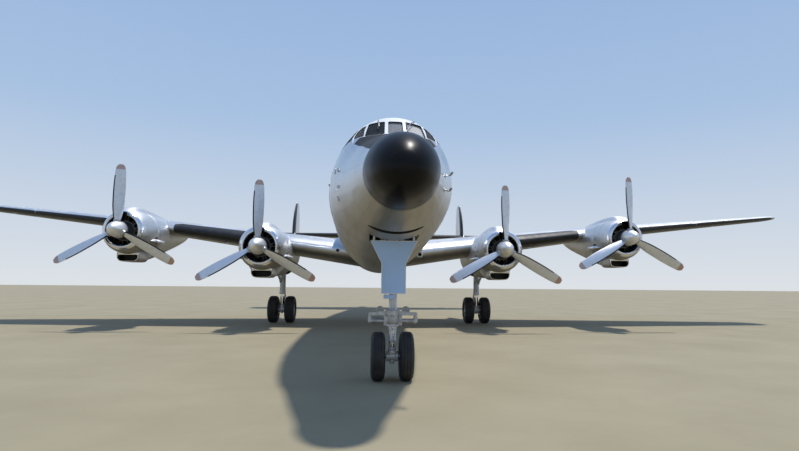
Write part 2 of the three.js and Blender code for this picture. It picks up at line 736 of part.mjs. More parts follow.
// Body
const bodyOutside = fuselageSolid(SEAT_GAP);
const glassSlot = glassShell(
  FRAME_DEPTH, FRAME_DEPTH + GLASS_THICKNESS + 2 * SEAT_GAP, FRAME + SEAT_GAP,
);
const noseBay = block(
  [-NOSE_BAY.halfWidth, stationY(NOSE_BAY.front), 2000],
  [NOSE_BAY.halfWidth, stationY(NOSE_BAY.back), NOSE_BAY.roof],
);
const paneCuts = paneOpenings().subtract(fuselageSolid(-FRAME_DEPTH - 1));
const fuselage = fuselageSolid(0).subtract(glassSlot).subtract(paneCuts).subtract(noseBay);
plane.add(piece('fuselage', fuselage, 'skin'));
plane.add(piece('radome', radomeSolid(), 'radome'));
plane.add(piece(
  'cockpit_glass',
  glassShell(FRAME_DEPTH + SEAT_GAP, FRAME_DEPTH + GLASS_THICKNESS + SEAT_GAP, FRAME),
  'glass',
));

// Wings with flaps and ailerons
for (const [name, side] of SIDES) {
  let wing = union([wingSolid(side, 0), rootFillet(side, 1), rootFillet(side, -1)]).subtract(bodyOutside);
  for (const [place, from, to] of FLAPS) {
    wing = wing.subtract(wingFlapRoom(side, from, to, FLAP_HINGE, SEAT_GAP));
    plane.add(piece(`flap_${name}_${place}`, wingFlap(side, from, to, FLAP_HINGE, SEAT_GAP), 'skin'));
  }
  wing = wing.subtract(wingFlapRoom(side, AILERON.from, AILERON.to, AILERON.hinge, SWING_GAP));
  const aileronPin = hingePin(...[AILERON.from, AILERON.to].map((x) => wingHinge(side, x, AILERON.hinge)), 0);
  plane.add(piece(
    `aileron_${name}`,
    wingFlap(side, AILERON.from, AILERON.to, AILERON.hinge, AILERON.endGap).add(aileronPin),
    'skin',
  ));
  plane.add(piece(`wing_${name}`, wing, 'skin'));
}

// Engines, each made about the propeller's hub
const propeller = propellerSolid();
const engine = engineSolid();
const cowl = cowlSolid();
for (const [name, x, station, height, sections] of ENGINES) {
  const side = Math.sign(x);
  let nacelle = nacelleSolid(x, station, height, sections, 0)
    .add(moved(cowlFairings(false), [x, stationY(station), height]))
    .subtract(wingSolid(side, SEAT_GAP));
  if (sections === INNER_NACELLE) {
    const bayX = side * MAIN.x;
    const [low, high] = [bayX - BAY.halfWidth, bayX + BAY.halfWidth];
    nacelle = nacelle
      .subtract(block([low, stationY(BAY.front), BAY.floor], [high, stationY(BAY.back), BAY.roof]))
      .subtract(block([low, stationY(BAY.mouth), 1500], [high, stationY(BAY.back), BAY.roof]));
  }
  plane.add(piece(`nacelle_${name}`, nacelle, 'skin'));
  for (const [kind, solid, finish] of [
    ['cowl', cowl, 'skin'], ['engine', engine, 'engine'], ['propeller', propeller, 'blade'],
  ]) {
    const part = piece(`${kind}_${name}`, solid, finish);
    part.position.set(x, stationY(station), height);
    plane.add(part);
  }
}

// Main landing gear
for (const [name, side] of SIDES) {
  const x = side * MAIN.x;
  plane.add(piece(`main_leg_${name}`, mainLegSolid(x), 'gear'));
  const hubs = piece(`main_hubs_${name}`, hubsSolid(MAIN), 'hub');
  hubs.position.set(x, stationY(MAIN.station), MAIN_AXLE);
  plane.add(hubs);
  for (const [place, shift] of [['inner', -side], ['outer', side]]) {
    const tyre = piece(`main_tyre_${name}_${place}`, tyreSolid(MAIN), 'tyre');
    tyre.position.set(x + shift * MAIN.twin, stationY(MAIN.station), MAIN_AXLE);
    plane.add(tyre);
    const [, engineX, station, height, sections] = ENGINES.find(([, ex, , , list]) => (
      list === INNER_NACELLE && Math.sign(ex) === side
    ));
    const [low, high] = [BAY_DOOR.middleGap, BAY.halfWidth - SEAT_GAP]
      .map((edge) => x + shift * edge).sort((a, b) => a - b);
    const door = nacelleSolid(engineX, station, height, sections, 0)
      .subtract(nacelleSolid(engineX, station, height, sections, -BAY_DOOR.thick))
      .intersect(block(
        [low, stationY(BAY_DOOR.front), 1500], [high, stationY(BAY.back) - SEAT_GAP, BAY_DOOR.top],
      ));
    plane.add(piece(`main_door_${name}_${place}`, door, 'skin'));
  }
}

// Nose landing gear
plane.add(piece('nose_leg', noseLegSolid(), 'gear'));
plane.add(piece('nose_leg_door', nosePlateSolid(), 'plate'));
plane.add(piece('nose_steering', noseSteeringSolid(), 'gear'));
const noseHubs = piece('nose_hubs', hubsSolid(NOSE), 'hub');
noseHubs.position.set(0, stationY(NOSE.station), NOSE_AXLE);
plane.add(noseHubs);
for (const [name, side] of SIDES) {
  const tyre = piece(`nose_tyre_${name}`, tyreSolid(NOSE), 'tyre');
  tyre.position.set(side * NOSE.twin, stationY(NOSE.station), NOSE_AXLE);
  plane.add(tyre);
  const [near, far] = [NOSE_DOOR.middleGap, NOSE_BAY.halfWidth - SEAT_GAP].map((edge) => side * edge);
  const opening = block(
    [Math.min(near, far), stationY(NOSE_DOOR.front), 2000],
    [Math.max(near, far), stationY(NOSE_BAY.back) - SEAT_GAP, 2900],
  );
  const door = fuselageSolid(0).subtract(fuselageSolid(-NOSE_DOOR.thick)).intersect(opening);
  plane.add(piece(`nose_door_${name}`, door, 'skin'));
}

// Tail
const sweepAngle = THREE.MathUtils.degToRad(RUDDER_SWEEP);
function rudderSwing(x) {
  const reach = 1500;
  const root = 135;
  return loft([3000, 8000].map((height) => [
    [x - root, stationY(HINGE_STATION - root), height],
    [x + root, stationY(HINGE_STATION - root), height],
    [x + root + reach * Math.tan(sweepAngle), stationY(HINGE_STATION + reach), height],
    [x - root - reach * Math.tan(sweepAngle), stationY(HINGE_STATION + reach), height],
  ]));
}

// All that lies on a fin and outboard of it
function tailplaneEnd(finX) {
  const ends = [finX, finX + Math.sign(finX) * 3000].sort((a, b) => a - b);
  return block([ends[0], stationY(28000), 3500], [ends[1], stationY(35000), 8000]);
}

const flapOf = (chord, ratio, hinge) => flapFoil(chord, ratio, 0, hinge);
const roomOf = (chord, ratio, hinge) => flapRoom(chord, ratio, 0, hinge, SWING_GAP);
const rudderPin = (x, { low, high }) => (
  hingePin([x, stationY(HINGE_STATION), low], [x, stationY(HINGE_STATION), high], 2)
);

for (const [name, side] of SIDES) {
  const finX = side * OUTER_FIN_X;
  const finSection = (grow) => (chord, ratio) => foil(chord, ratio, 0, grow);
  const fin = finShape(OUTER_FIN, finX, finHeights(OUTER_FIN), finSection(0))
    .subtract(finShape(OUTER_FIN, finX, rudderHeights(OUTER_FIN, RUDDER_OUTER, 0), roomOf));
  const finOutside = finShape(OUTER_FIN, finX, finHeights(OUTER_FIN), finSection(SEAT_GAP));
  plane.add(piece(
    `rudder_outer_${name}`,
    finShape(OUTER_FIN, finX, rudderHeights(OUTER_FIN, RUDDER_OUTER, SWING_GAP), flapOf)
      .add(rudderPin(finX, RUDDER_OUTER)),
    'skin',
  ));
  const places = [ELEVATOR.from, ELEVATOR.to];
  const half = tailplaneShape(side, tailplanePlaces, (chord, ratio) => foil(chord, ratio, 0, 0))
    .subtract(tailplaneShape(side, places, roomOf))
    .subtract(rudderSwing(finX));
  plane.add(piece(
    `elevator_${name}`,
    tailplaneShape(side, [ELEVATOR.from + ELEVATOR.endGap, ELEVATOR.to - ELEVATOR.endGap], flapOf)
      .add(hingePin(...places.map((x) => [side * x, stationY(HINGE_STATION), lookUp(TAILPLANE, x, 2)]), 0)),
    'skin',
  ));
  const insideFin = tailplaneEnd(finX);
  const inboard = half.subtract(finOutside).subtract(bodyOutside).subtract(insideFin);
  plane.add(piece(`tailplane_${name}`, inboard, 'skin'));
  plane.add(piece(`fin_outer_${name}`, fin.add(half.intersect(insideFin)), 'skin'));
}
const centreFin = finShape(CENTRE_FIN, 0, finHeights(CENTRE_FIN), (chord, ratio) => foil(chord, ratio, 0, 0))
  .subtract(finShape(CENTRE_FIN, 0, rudderHeights(CENTRE_FIN, RUDDER_CENTRE, 0), roomOf))
  .subtract(bodyOutside);
plane.add(piece('fin_centre', centreFin, 'skin'));
plane.add(piece(
  'rudder_centre',
  finShape(CENTRE_FIN, 0, rudderHeights(CENTRE_FIN, RUDDER_CENTRE, SWING_GAP), flapOf)
    .add(rudderPin(0, RUDDER_CENTRE)),
  'skin',
));

export default plane;
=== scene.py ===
"""Looks of a parked four-engined military transport plane, in metres.

+X is the plane's left, -Y is towards its nose and +Z is up. A station is a distance aft of the
radome's tip, and a height is measured from the ground.
"""
from math import acos, ceil, copysign, cos, dist, hypot, pi, radians, sin, sqrt, tan

import bmesh
import bpy
import numpy as np
from mathutils import Matrix, Vector


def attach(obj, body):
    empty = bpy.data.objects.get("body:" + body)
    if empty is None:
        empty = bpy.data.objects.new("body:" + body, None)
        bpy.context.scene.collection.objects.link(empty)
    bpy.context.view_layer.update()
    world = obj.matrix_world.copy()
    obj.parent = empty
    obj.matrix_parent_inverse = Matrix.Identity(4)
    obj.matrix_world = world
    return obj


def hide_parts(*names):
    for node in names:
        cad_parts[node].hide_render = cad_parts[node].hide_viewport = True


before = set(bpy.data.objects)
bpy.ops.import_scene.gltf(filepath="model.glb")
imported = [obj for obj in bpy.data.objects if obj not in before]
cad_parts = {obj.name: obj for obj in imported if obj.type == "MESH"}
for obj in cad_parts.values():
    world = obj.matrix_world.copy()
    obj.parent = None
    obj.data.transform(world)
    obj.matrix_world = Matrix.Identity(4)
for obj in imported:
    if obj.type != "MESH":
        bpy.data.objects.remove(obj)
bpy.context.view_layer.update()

# Driving sizes
LENGTH = 35.41
SIDES = (("left", 1), ("right", -1))

# Fuselage sections: station, centre height, radius, height of the crown above the centre
FUSELAGE = [
    (1.0, 3.17, 0.52, 0.52),
    (2.0, 3.26, 0.74, 0.735),
    (3.0, 3.375, 0.93, 0.905),
    (3.7, 3.49, 1.08, 1.3),
    (4.4, 3.6, 1.19, 1.39),
    (5.2, 3.7, 1.285, 1.44),
    (6.5, 3.81, 1.42, 1.51),
    (8.0, 3.9, 1.53, 1.6),
    (10.0, 3.955, 1.62, 1.66),
    (13.0, 3.96, 1.72, 1.75),
    (19.0, 3.97, 1.77, 1.77),
    (22.0, 4.03, 1.665, 1.665),
    (25.0, 4.19, 1.43, 1.43),
    (28.0, 4.43, 1.09, 1.09),
    (31.0, 4.72, 0.71, 0.71),
    (33.5, 4.92, 0.38, 0.38),
    (35.0, 5.01, 0.15, 0.15),
    (35.41, 5.03, 0.04, 0.04),
]
CABIN_RADIUS = 1.77
RADOME_BASE = 1.0
RADOME_TIP_DROP = 0.12
# Radome sections: share of its length, share of its base radius
RADOME = [
    (0, 0.0), (0.01, 0.15), (0.05, 0.34), (0.2, 0.62), (0.42, 0.82), (0.7, 0.945), (1, 1),
]

# Cockpit panes: front ones as distance out and height, side ones as station and height
FRONT_PANES = {
    "centre": [(-0.139, 4.292), (0.139, 4.292), (0.13, 4.65), (-0.13, 4.65)],
    "left": [(0.2, 4.292), (0.552, 4.292), (0.485, 4.635), (0.188, 4.65)],
    "right": [(-0.188, 4.65), (-0.485, 4.635), (-0.552, 4.292), (-0.2, 4.292)],
}
SIDE_PANES = {
    "front": [(3.3, 4.3), (3.5, 4.29), (3.82, 4.6), (3.635, 4.6)],
    "middle": [(3.56, 4.285), (4.045, 4.28), (4.055, 4.605), (3.88, 4.602)],
    "rear": [(4.095, 4.283), (4.5, 4.27), (4.5, 4.61), (4.105, 4.606)],
}

# The black panel before the windshield ends at this height
GLASS_FOOT = 4.29
# The white post between the first side panes: foot and top as station and height
POST = ((3.43, 4.215), (3.85, 4.612))

# Cabin windows, and doors as station, angle from the crown in degrees, half length, half height
WINDOW_TURN = radians(71)
WINDOW_STATIONS = [6.0, *[8.4 + 1.15 * i for i in range(12)], 22.2]
CABIN_DOORS = [
    (7.2, 79, 0.46, 0.85), (23.9, 78, 1.35, 0.9), (7.0, -80, 0.38, 0.75), (24.4, -80, 0.42, 0.75),
]

# Wing sections: distance out, leading-edge station, leading-edge height, chord, thickness ratio
WING = [
    (0.6, 14.88, 2.83, 6.11, 0.18),
    (4.4, 15.38, 3.33, 5.23, 0.165),
    (9.4, 16.04, 3.98, 4.08, 0.145),
    (18.0, 17.17, 4.9, 2.09, 0.12),
    (18.5, 17.32, 4.955, 1.65, 0.115),
    (18.745, 17.62, 4.985, 0.85, 0.11),
]
WING_CAMBER = 0.018
# Wing rows are straight up to here and smooth beyond it
TIP_START = 18.0
# De-icing boots along the wing: from and to
WING_BOOTS = ((5.35, 8.4), (10.2, 14.2), (14.22, 18.3))
# Fairing of a flap's track: distance aft of its middle, half width, half height
TRACK_FAIRING = (
    (-0.65, 0.005, 0.005), (-0.45, 0.03, 0.05), (-0.1, 0.04, 0.08), (0.2, 0.035, 0.07), (0.45, 0.005, 0.01),
)
# Wing-root fillet: share of the root's chord, reach along the wing
FILLET = [
    (0.01, 0.06), (0.08, 0.26), (0.3, 0.46), (0.55, 0.48), (0.72, 0.4), (0.85, 0.3), (0.99, 0.2),
]
HINGE_SHARE = 0.76
FLAPS = (("inner", 2.05, 3.56), ("outer", 5.06, 8.64))
AILERON = (11.3, 17.6)
AILERON_END = 0.045
SWING_GAP = 0.014
FLAP_GAP = 0.003
SEAT_GAP = 0.0003

# Nacelle sections: distance aft of the propeller, half width, lift of the centre, height, depth
INNER_NACELLE = [
    (1.8, 0.82, 0, 0.82, 1.09),
    (2.7, 0.8, 0, 0.83, 1.03),
    (4.0, 0.76, 0, 0.8, 0.98),
    (5.4, 0.7, 0, 0.7, 0.93),
    (6.4, 0.6, 0.04, 0.6, 0.8),
    (7.4, 0.44, 0.15, 0.44, 0.56),
    (8.4, 0.25, 0.27, 0.25, 0.29),
    (9.3, 0.05, 0.35, 0.05, 0.05),
]
OUTER_NACELLE = [
    (1.8, 0.82, 0, 0.82, 1.09),
    (2.7, 0.77, 0, 0.82, 0.9),
    (3.7, 0.64, 0.04, 0.76, 0.68),
    (4.9, 0.48, 0.13, 0.62, 0.48),
    (6.1, 0.3, 0.27, 0.34, 0.3),
    (7.2, 0.05, 0.4, 0.05, 0.05),
]
# Engines: name, distance out, propeller station, propeller height, nacelle sections
ENGINES = (
    ("left_inner", 4.367, 12.59, 2.968, INNER_NACELLE),
    ("left_outer", 9.311, 13.16, 3.513, OUTER_NACELLE),
    ("right_inner", -4.367, 12.59, 2.968, INNER_NACELLE),
    ("right_outer", -9.311, 13.16, 3.513, OUTER_NACELLE),
)
# Cowl profile: radius, distance aft of the propeller, from the inner lip round the outside
COWL = [
    (0.56, 0.5), (0.545, 0.44), (0.543, 0.4), (0.552, 0.37), (0.57, 0.352), (0.592, 0.345),
    (0.615, 0.349), (0.64, 0.364), (0.668, 0.395), (0.7, 0.44), (0.74, 0.52), (0.772, 0.62),
    (0.8, 0.78), (0.814, 0.95), (0.82, 1.15), (0.82, 1.48),
]
COWL_BACK = 1.7997
# Carburettor duct on the cowl: distance, half width, height of its top above the propeller's axis
DUCT = [
    (0.4, 0.24, 0.66), (0.5, 0.28, 0.76), (0.7, 0.32, 0.87), (1.0, 0.345, 0.94), (1.5, 0.36, 0.965),
    (2.1, 0.36, 0.955), (2.9, 0.34, 0.915), (3.8, 0.3, 0.84), (4.8, 0.2, 0.72),
]
# Exhaust hood on the cowl: distance, reach out, half height
EXHAUST_HOOD = [
    (1.0, 0.79, 0.02), (1.12, 0.845, 0.075), (1.25, 0.895, 0.1), (1.42, 0.935, 0.105),
    (1.62, 0.94, 0.095), (1.85, 0.89, 0.075), (2.15, 0.8, 0.02),
]
# Oil-cooler scoop under the cowl and its mouth: points across and up
SCOOP = [(0.395, -0.7), (0.395, -0.94), (0.345, -1.045), (0.24, -1.09)]
SCOOP_MOUTH = [(0.335, -0.85), (0.34, -0.93), (0.3, -1.01), (0.21, -1.05)]
# Propeller blade: distance from the hub, chord, thickness, pitch in degrees
BLADE = [
    (0.2, 0.16, 0.13, 44),
    (0.45, 0.29, 0.09, 40),
    (0.9, 0.38, 0.06, 33),
    (1.4, 0.39, 0.042, 26),
    (2.03, 0.34, 0.028, 21),
    (2.22, 0.27, 0.02, 20),
    (2.31, 0.13, 0.012, 20),
]
BLADES = 3

# Tail surfaces: distance out, leading-edge station, height, trailing-edge station, ratio
HINGE_STATION = 32.7
TAILPLANE = [
    (0.2, 29.9, 4.98, 33.95, 0.12),
    (5.9, 30.9, 5.085, 33.5, 0.11),
    (7.3, 31.2, 5.11, 33.25, 0.1),
    (7.62, 31.6, 5.116, 33.0, 0.09),
]
ELEVATOR = (0.76, 5.36)
ELEVATOR_END = 0.02
TAILPLANE_TIP = [7.4, 7.5, 7.55, 7.58, 7.6, 7.61, 7.62]
# Fin sections: height, leading-edge station, trailing-edge station
OUTER_FIN = [
    (3.93, 32.15, 32.95), (4.08, 31.6, 33.3), (4.5, 31.12, 33.64), (5.08, 30.86, 33.8),
    (5.9, 31.0, 33.84), (6.7, 31.4, 33.7), (7.25, 31.85, 33.49), (7.54, 32.2, 33.26),
]
CENTRE_FIN = [
    (5.0, 29.7, 33.65), (5.6, 30.15, 33.78), (6.4, 30.7, 33.8), (7.1, 31.35, 33.62),
    (7.44, 31.85, 33.4), (7.54, 32.15, 33.22),
]
FIN_RATIO = 0.1
OUTER_FIN_X = 5.9
RUDDER_OUTER = (4.18, 7.33)
RUDDER_CENTRE = (5.62, 7.33)
RUDDER_SWEEP = radians(30)

# Landing gear: station, distances from the axle, and the half spacing of the twin wheels
MAIN = {
    "x": 4.267, "station": 17.61, "tyre": 0.575, "rim": 0.254, "width": 0.41, "twin": 0.355, "axle": 0.07,
}
NOSE = {"station": 3.54, "tyre": 0.424, "rim": 0.2, "width": 0.25, "twin": 0.25, "axle": 0.045}
MAIN_AXLE, NOSE_AXLE = (gear["tyre"] * cos(pi / 20) for gear in (MAIN, NOSE))
# The bay is open below from its mouth to its closed doors, and has a floor ahead of the mouth
BAY = {"half": 0.4, "front": 16.3, "mouth": 16.7, "floor": 2.3, "back": 18.9, "roof": 2.86}
BAY_DOOR = {"front": 17.86, "thick": 0.025, "gap": 0.006, "top": 2.6}
NOSE_BAY = {"half": 0.44, "front": 3.17, "back": 5.5, "roof": 3.1}
NOSE_DOOR_FRONT = 4.25
NOSE_BRACE = (4.44, 2.8)
LAMP_OUT = 0.226
# The plate before the nose leg: half width at each height
NOSE_PLATE = [(1.51, 0.215), (2.04, 0.215), (2.435, 0.415)]
PLATE_FRONT, PLATE_BACK = 3.26, 3.3

# Camera, fitted to the photograph's propeller tips, wheels and fins
CAMERA_AT = (-0.359, -23.659, 1.667)
CAMERA_YAW, CAMERA_PITCH, CAMERA_ROLL = 0.0806, 0.1121, 0.0087
FOCAL_PIXELS, AXIS_PIXELS, IMAGE_WIDTH, SENSOR = 527.5, 416.2, 799, 36.0
SUN_WAY = Vector((0.22, 0.1, 0.97))
# Soft light from above: height on the unit sphere, colour
SKY = [(0.0, (0.78, 0.82, 0.86)), (0.3, (0.42, 0.58, 0.82)), (1.0, (0.16, 0.32, 0.68))]
FLOOR_REACH = 250
# Most finishes that one piece can have
MOST_FINISHES = 4


# Small tools

def aft(station):
    """The Y of a station."""
    return station - LENGTH / 2


def angles(count):
    """Evenly spaced angles of a full turn."""
    return [2 * pi * k / count for k in range(count)]


def curve(table, column):
    """A smooth curve, without overshoot, through one column of a table against its first."""
    x, y = (np.array([row[c] for row in table], float) for c in (0, column))
    step = np.diff(x)
    slope = np.diff(y) / step
    tangent = np.zeros(len(x))
    tangent[0], tangent[-1] = slope[0], slope[-1]
    for i in range(1, len(x) - 1):
        if slope[i - 1] * slope[i] > 0:
            tangent[i] = 2 * slope[i - 1] * slope[i] / (slope[i - 1] + slope[i])

    def value(at):
        i = np.clip(np.searchsorted(x, at) - 1, 0, len(step) - 1)
        t = (at - x[i]) / step[i]
        return float(
            (1 + 2 * t) * (1 - t) ** 2 * y[i] + t * (1 - t) ** 2 * step[i] * tangent[i]
            + t ** 2 * (3 - 2 * t) * y[i + 1] - t ** 2 * (1 - t) * step[i] * tangent[i + 1]
        )

    return value


def line(table, column):
    """Straight stretches through one column of a table against its first."""
    x, y = ([row[c] for row in table] for c in (0, column))
    return lambda at: float(np.interp(at, x, y))


def spread(low, high, step):
    """Evenly spaced values from low to high, no further apart than step."""
    return list(np.linspace(low, high, max(2, ceil((high - low) / step) + 1)))


class Shape:
    """Points and faces, with a pattern place in metres for each corner and a finish for each face."""

    def __init__(self, points, faces, places=None, zones=None):
        self.points = np.array(points, float).reshape(-1, 3)
        self.faces = [tuple(int(i) for i in face) for face in faces]
        self.places = places or [[(0.0, 0.0)] * len(face) for face in self.faces]
        self.zones = zones or [0] * len(self.faces)

    def moved(self, matrix):
        points = self.points @ np.array(matrix.to_3x3()).T + np.array(matrix.translation)
        return Shape(points, self.faces, self.places, self.zones)

    def at(self, x=0.0, y=0.0, z=0.0):
        return self.moved(Matrix.Translation((x, y, z)))

    def rolled(self, share):
        """Turned about the Y axis by a share of a full turn."""
        return self.moved(Matrix.Rotation(2 * pi * share, 4, "Y"))

    def raised(self):
        """Laid from the Y axis onto the Z axis."""
        return self.moved(Matrix.Rotation(pi / 2, 4, "X"))

    def sided(self, side):
        """The same on the plane's left, mirrored on its right."""
        if side > 0:
            return self
        turned_over = [[row[::-1] for row in rows] for rows in (self.faces, self.places)]
        return Shape(self.points * np.array((-1, 1, 1)), *turned_over, self.zones)

    def finished(self, zone):
        return Shape(self.points, self.faces, self.places, [zone] * len(self.faces))


def joined(shapes):
    points, faces, places, zones, count = [], [], [], [], 0
    for shape in shapes:
        points.append(shape.points)
        faces += [tuple(i + count for i in face) for face in shape.faces]
        places += shape.places
        zones += shape.zones
        count += len(shape.points)
    return Shape(np.concatenate(points), faces, places, zones)


def zoned(*groups):
    """Groups of shapes joined, each group with the next finish."""
    return joined([joined(group).finished(zone) for zone, group in enumerate(groups)])


def loft(rings, along=None, around=None, ring_closed=True, ends=(True, True)):
    """A surface through rings of equally many points; along and around give the pattern's places."""
    rings = np.array(rings, float)
    count, size = rings.shape[:2]
    if along is None:
        steps = np.linalg.norm(np.diff(rings.mean(axis=1), axis=0), axis=1)
        along = np.concatenate([[0], np.cumsum(steps)])
    if around is None:
        widest = rings[int(np.argmax(np.ptp(rings, axis=1).sum(axis=1)))]
        loop = np.concatenate([widest, widest[:1]])
        around = np.concatenate([[0], np.cumsum(np.linalg.norm(np.diff(loop, axis=0), axis=1))])
    faces, places = [], []
    for i in range(count - 1):
        for j in range(size if ring_closed else size - 1):
            k = (j + 1) % size
            faces.append((i * size + j, i * size + k, (i + 1) * size + k, (i + 1) * size + j))
            places.append([
                (along[i], around[j]), (along[i], around[j + 1]),
                (along[i + 1], around[j + 1]), (along[i + 1], around[j]),
            ])
    for wanted, ring, way in ((ends[0], 0, -1), (ends[1], count - 1, 1)):
        if wanted and ring_closed:
            faces.append(tuple(ring * size + j for j in range(size))[::way])
            places.append([(along[ring], around[j]) for j in range(size)])
    return Shape(rings, faces, places)


def turned(profile, segments, axis="y", ends=(True, True)):
    """A solid of revolution about the Y or X axis from radius and distance pairs."""
    rings = []
    for radius, distance in profile:
        ring = [(radius * sin(a), distance, radius * cos(a)) for a in angles(segments)]
        rings.append(ring if axis == "y" else [(y, x, z) for x, y, z in ring])
    steps = [dist(a, b) for a, b in zip(profile, profile[1:])]
    reach = max(radius for radius, _ in profile)
    around = [*[reach * a for a in angles(segments)], 2 * pi * reach]
    return loft(rings, np.concatenate([[0], np.cumsum(steps)]), around, ends=ends)


def hoop(profile, segments, axis="y"):
    """A ring of revolution whose profile closes on itself."""
    shape = turned(profile, segments, axis, (False, False))
    last = (len(profile) - 1) * segments
    for j in range(segments):
        k = (j + 1) % segments
        shape.faces.append((last + j, last + k, k, j))
        shape.places.append([(0, 0)] * 4)
    return Shape(shape.points, shape.faces, shape.places)


def bar(start, end, profile, segments=20):
    """A turned part from radius and share-of-length pairs between two points."""
    length = dist(start, end)
    turn = (Vector(end) - Vector(start)).to_track_quat("Y", "Z").to_matrix().to_4x4()
    shape = turned([(max(radius, 0.001), share * length) for radius, share in profile], segments)
    return shape.moved(Matrix.Translation(start) @ turn)


def rod(start, end, radius, segments=16, bevel=None):
    """A round bar with bevelled ends."""
    length = dist(start, end)
    edge = min(radius, length / 2) * 0.12 if bevel is None else bevel
    share = edge / length
    profile = [(0, 0), (radius - edge, 0), (radius, share), (radius, 1 - share), (radius - edge, 1), (0, 1)]
    return bar(start, end, profile, segments)


def across(x, reach, y, z, radius, segments=16):
    """A rod along X to both sides of a place."""
    return rod((x - reach, y, z), (x + reach, y, z), radius, segments)


def bent(points, steps=5):
    """A smooth path through a few points."""
    spots = [Vector(p) for p in points]
    spots = [2 * spots[0] - spots[1], *spots, 2 * spots[-1] - spots[-2]]
    path = []
    for a, b, c, d in zip(spots, spots[1:], spots[2:], spots[3:]):
        for t in (k / steps for k in range(steps)):
            path.append(
                0.5 * (2 * b + (c - a) * t + (2 * a - 5 * b + 4 * c - d) * t * t
                       + (3 * b - a - 3 * c + d) * t ** 3)
            )
    return [*path, spots[-2]]


def tube(path, radius, segments=8):
    """A round pipe along a smooth path of points."""
    rings = []
    side = None
    for i, point in enumerate(path):
        ahead = path[min(i + 1, len(path) - 1)] - path[max(i - 1, 0)]
        ahead.normalize()
        side = side or ahead.orthogonal().normalized()
        side = (side - ahead * side.dot(ahead)).normalized()
        other = ahead.cross(side)
        rings.append([point + radius * (side * cos(a) + other * sin(a)) for a in angles(segments)])
    return loft(rings)


def block(low, high, bevel=0.006):
    """A box with bevelled edges."""
    mesh = bmesh.new()
    bmesh.ops.create_cube(mesh, size=1)
    low, high = Vector(low), Vector(high)
    size = high - low
    for vertex in mesh.verts:
        vertex.co = (low + high) / 2 + vertex.co * size
    if bevel:
        offset = min(bevel, min(size) * 0.3)
        bmesh.ops.bevel(mesh, geom=mesh.edges[:], offset=offset, segments=2, profile=0.7, affect="EDGES")
    shape = Shape([v.co for v in mesh.verts], [[v.index for v in f.verts] for f in mesh.faces])
    mesh.free()
    return shape


def rounded(outline, radius, steps=5):
    """An outline with round corners."""
    spots = np.array(outline, float)
    corners = []
    for before, here, after in zip(np.roll(spots, 1, axis=0), spots, np.roll(spots, -1, axis=0)):
        ways = [other - here for other in (before, after)]
        start, end = (here + way * min(0.45, radius / np.linalg.norm(way)) for way in ways)
        corners += [tuple(eased(start, here, end, k / steps)) for k in range(steps + 1)]
    return corners


def eased(start, corner, end, t):
    """A point of the curve from start to end that a corner draws towards itself."""
    return (1 - t) ** 2 * start + 2 * t * (1 - t) * corner + t * t * end


def slab(outline, start, end, axis="y", bevel=0.0):
    """An outline extruded along Y, or along X or Z, its edges bevelled."""
    shape = np.array(outline, float)
    middle = shape.mean(axis=0)
    small = middle + (shape - middle) * (1 - bevel / np.linalg.norm(shape - middle, axis=1).max())
    edge = copysign(bevel, end - start)
    stack = [(small, start), (shape, start + edge), (shape, end - edge), (small, end)]
    order = {"y": [0, 2, 1], "x": [1, 2, 0], "z": [0, 1, 2]}[axis]
    rings = []
    for loop, distance in stack if bevel else (stack[0], stack[-1]):
        ring = np.zeros((len(loop), 3))
        ring[:, order] = np.column_stack([loop, np.full(len(loop), distance)])
        rings.append(ring)
    return loft(rings)


def add_to_scene(name, data):
    made = bpy.data.objects.new(name, data)
    bpy.context.scene.collection.objects.link(made)
    return made


def mesh_of(name, shape):
    mesh = bpy.data.meshes.new(name)
    mesh.from_pydata([tuple(p) for p in shape.points], [], shape.faces)
    flat = np.array([place for face in shape.places for place in face], np.float32).ravel()
    mesh.uv_layers.new(name="metres").data.foreach_set("uv", flat)
    mesh.polygons.foreach_set("material_index", np.array(shape.zones, np.int32))
    mesh.validate()
    work = bmesh.new()
    work.from_mesh(mesh)
    bmesh.ops.recalc_face_normals(work, faces=work.faces)
    work.to_mesh(mesh)
    work.free()
    return mesh


def carved(shape, cutter, operation="DIFFERENCE"):
    """A shape cut by, or common to, another shape; the cutter's faces keep their finish."""
    body, tool = (add_to_scene("part", mesh_of("part", part)) for part in (shape, cutter))
    for thing in (body, tool):
        for _ in range(MOST_FINISHES):
            thing.data.materials.append(None)
    modifier = body.modifiers.new("cut", "BOOLEAN")
    modifier.object, modifier.operation, modifier.solver = tool, operation, "EXACT"
    bpy.context.view_layer.update()
    mesh = bpy.data.meshes.new_from_object(body.evaluated_get(bpy.context.evaluated_depsgraph_get()))
    layer = mesh.uv_layers.get("metres")
    uv = np.zeros(len(mesh.loops) * 2, np.float32)
    if layer:
        layer.data.foreach_get("uv", uv)
    uv = uv.reshape(-1, 2)
    places = [[tuple(uv[i]) for i in p.loop_indices] for p in mesh.polygons]
    zones = [p.material_index for p in mesh.polygons]
    made = Shape([v.co for v in mesh.vertices], [tuple(p.vertices) for p in mesh.polygons], places, zones)
    for data in (body.data, tool.data, mesh):
        bpy.data.meshes.remove(data)
    return made


def dressed(name, shape, materials, crease=35):
    """A mesh with its materials, smooth but for edges sharper than crease."""
    mesh = mesh_of(name, shape)
    for material in materials if isinstance(materials, list) else [materials]:
        mesh.materials.append(material)
    mesh.shade_smooth()
    mesh.set_sharp_from_angle(angle=radians(crease))
    return mesh


def placed(name, mesh, body="airframe", replaces=(), at=(0, 0, 0)):
    """A shown piece that rides on a body and may stand for solids of the frame."""
    made = add_to_scene(name, mesh)
    made.location = at
    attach(made, body)
    if replaces:
        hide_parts(*replaces)


def piece(name, shape, materials, body="airframe", replaces=()):
    placed(name, dressed(name, shape, materials), body, replaces)


# Materials

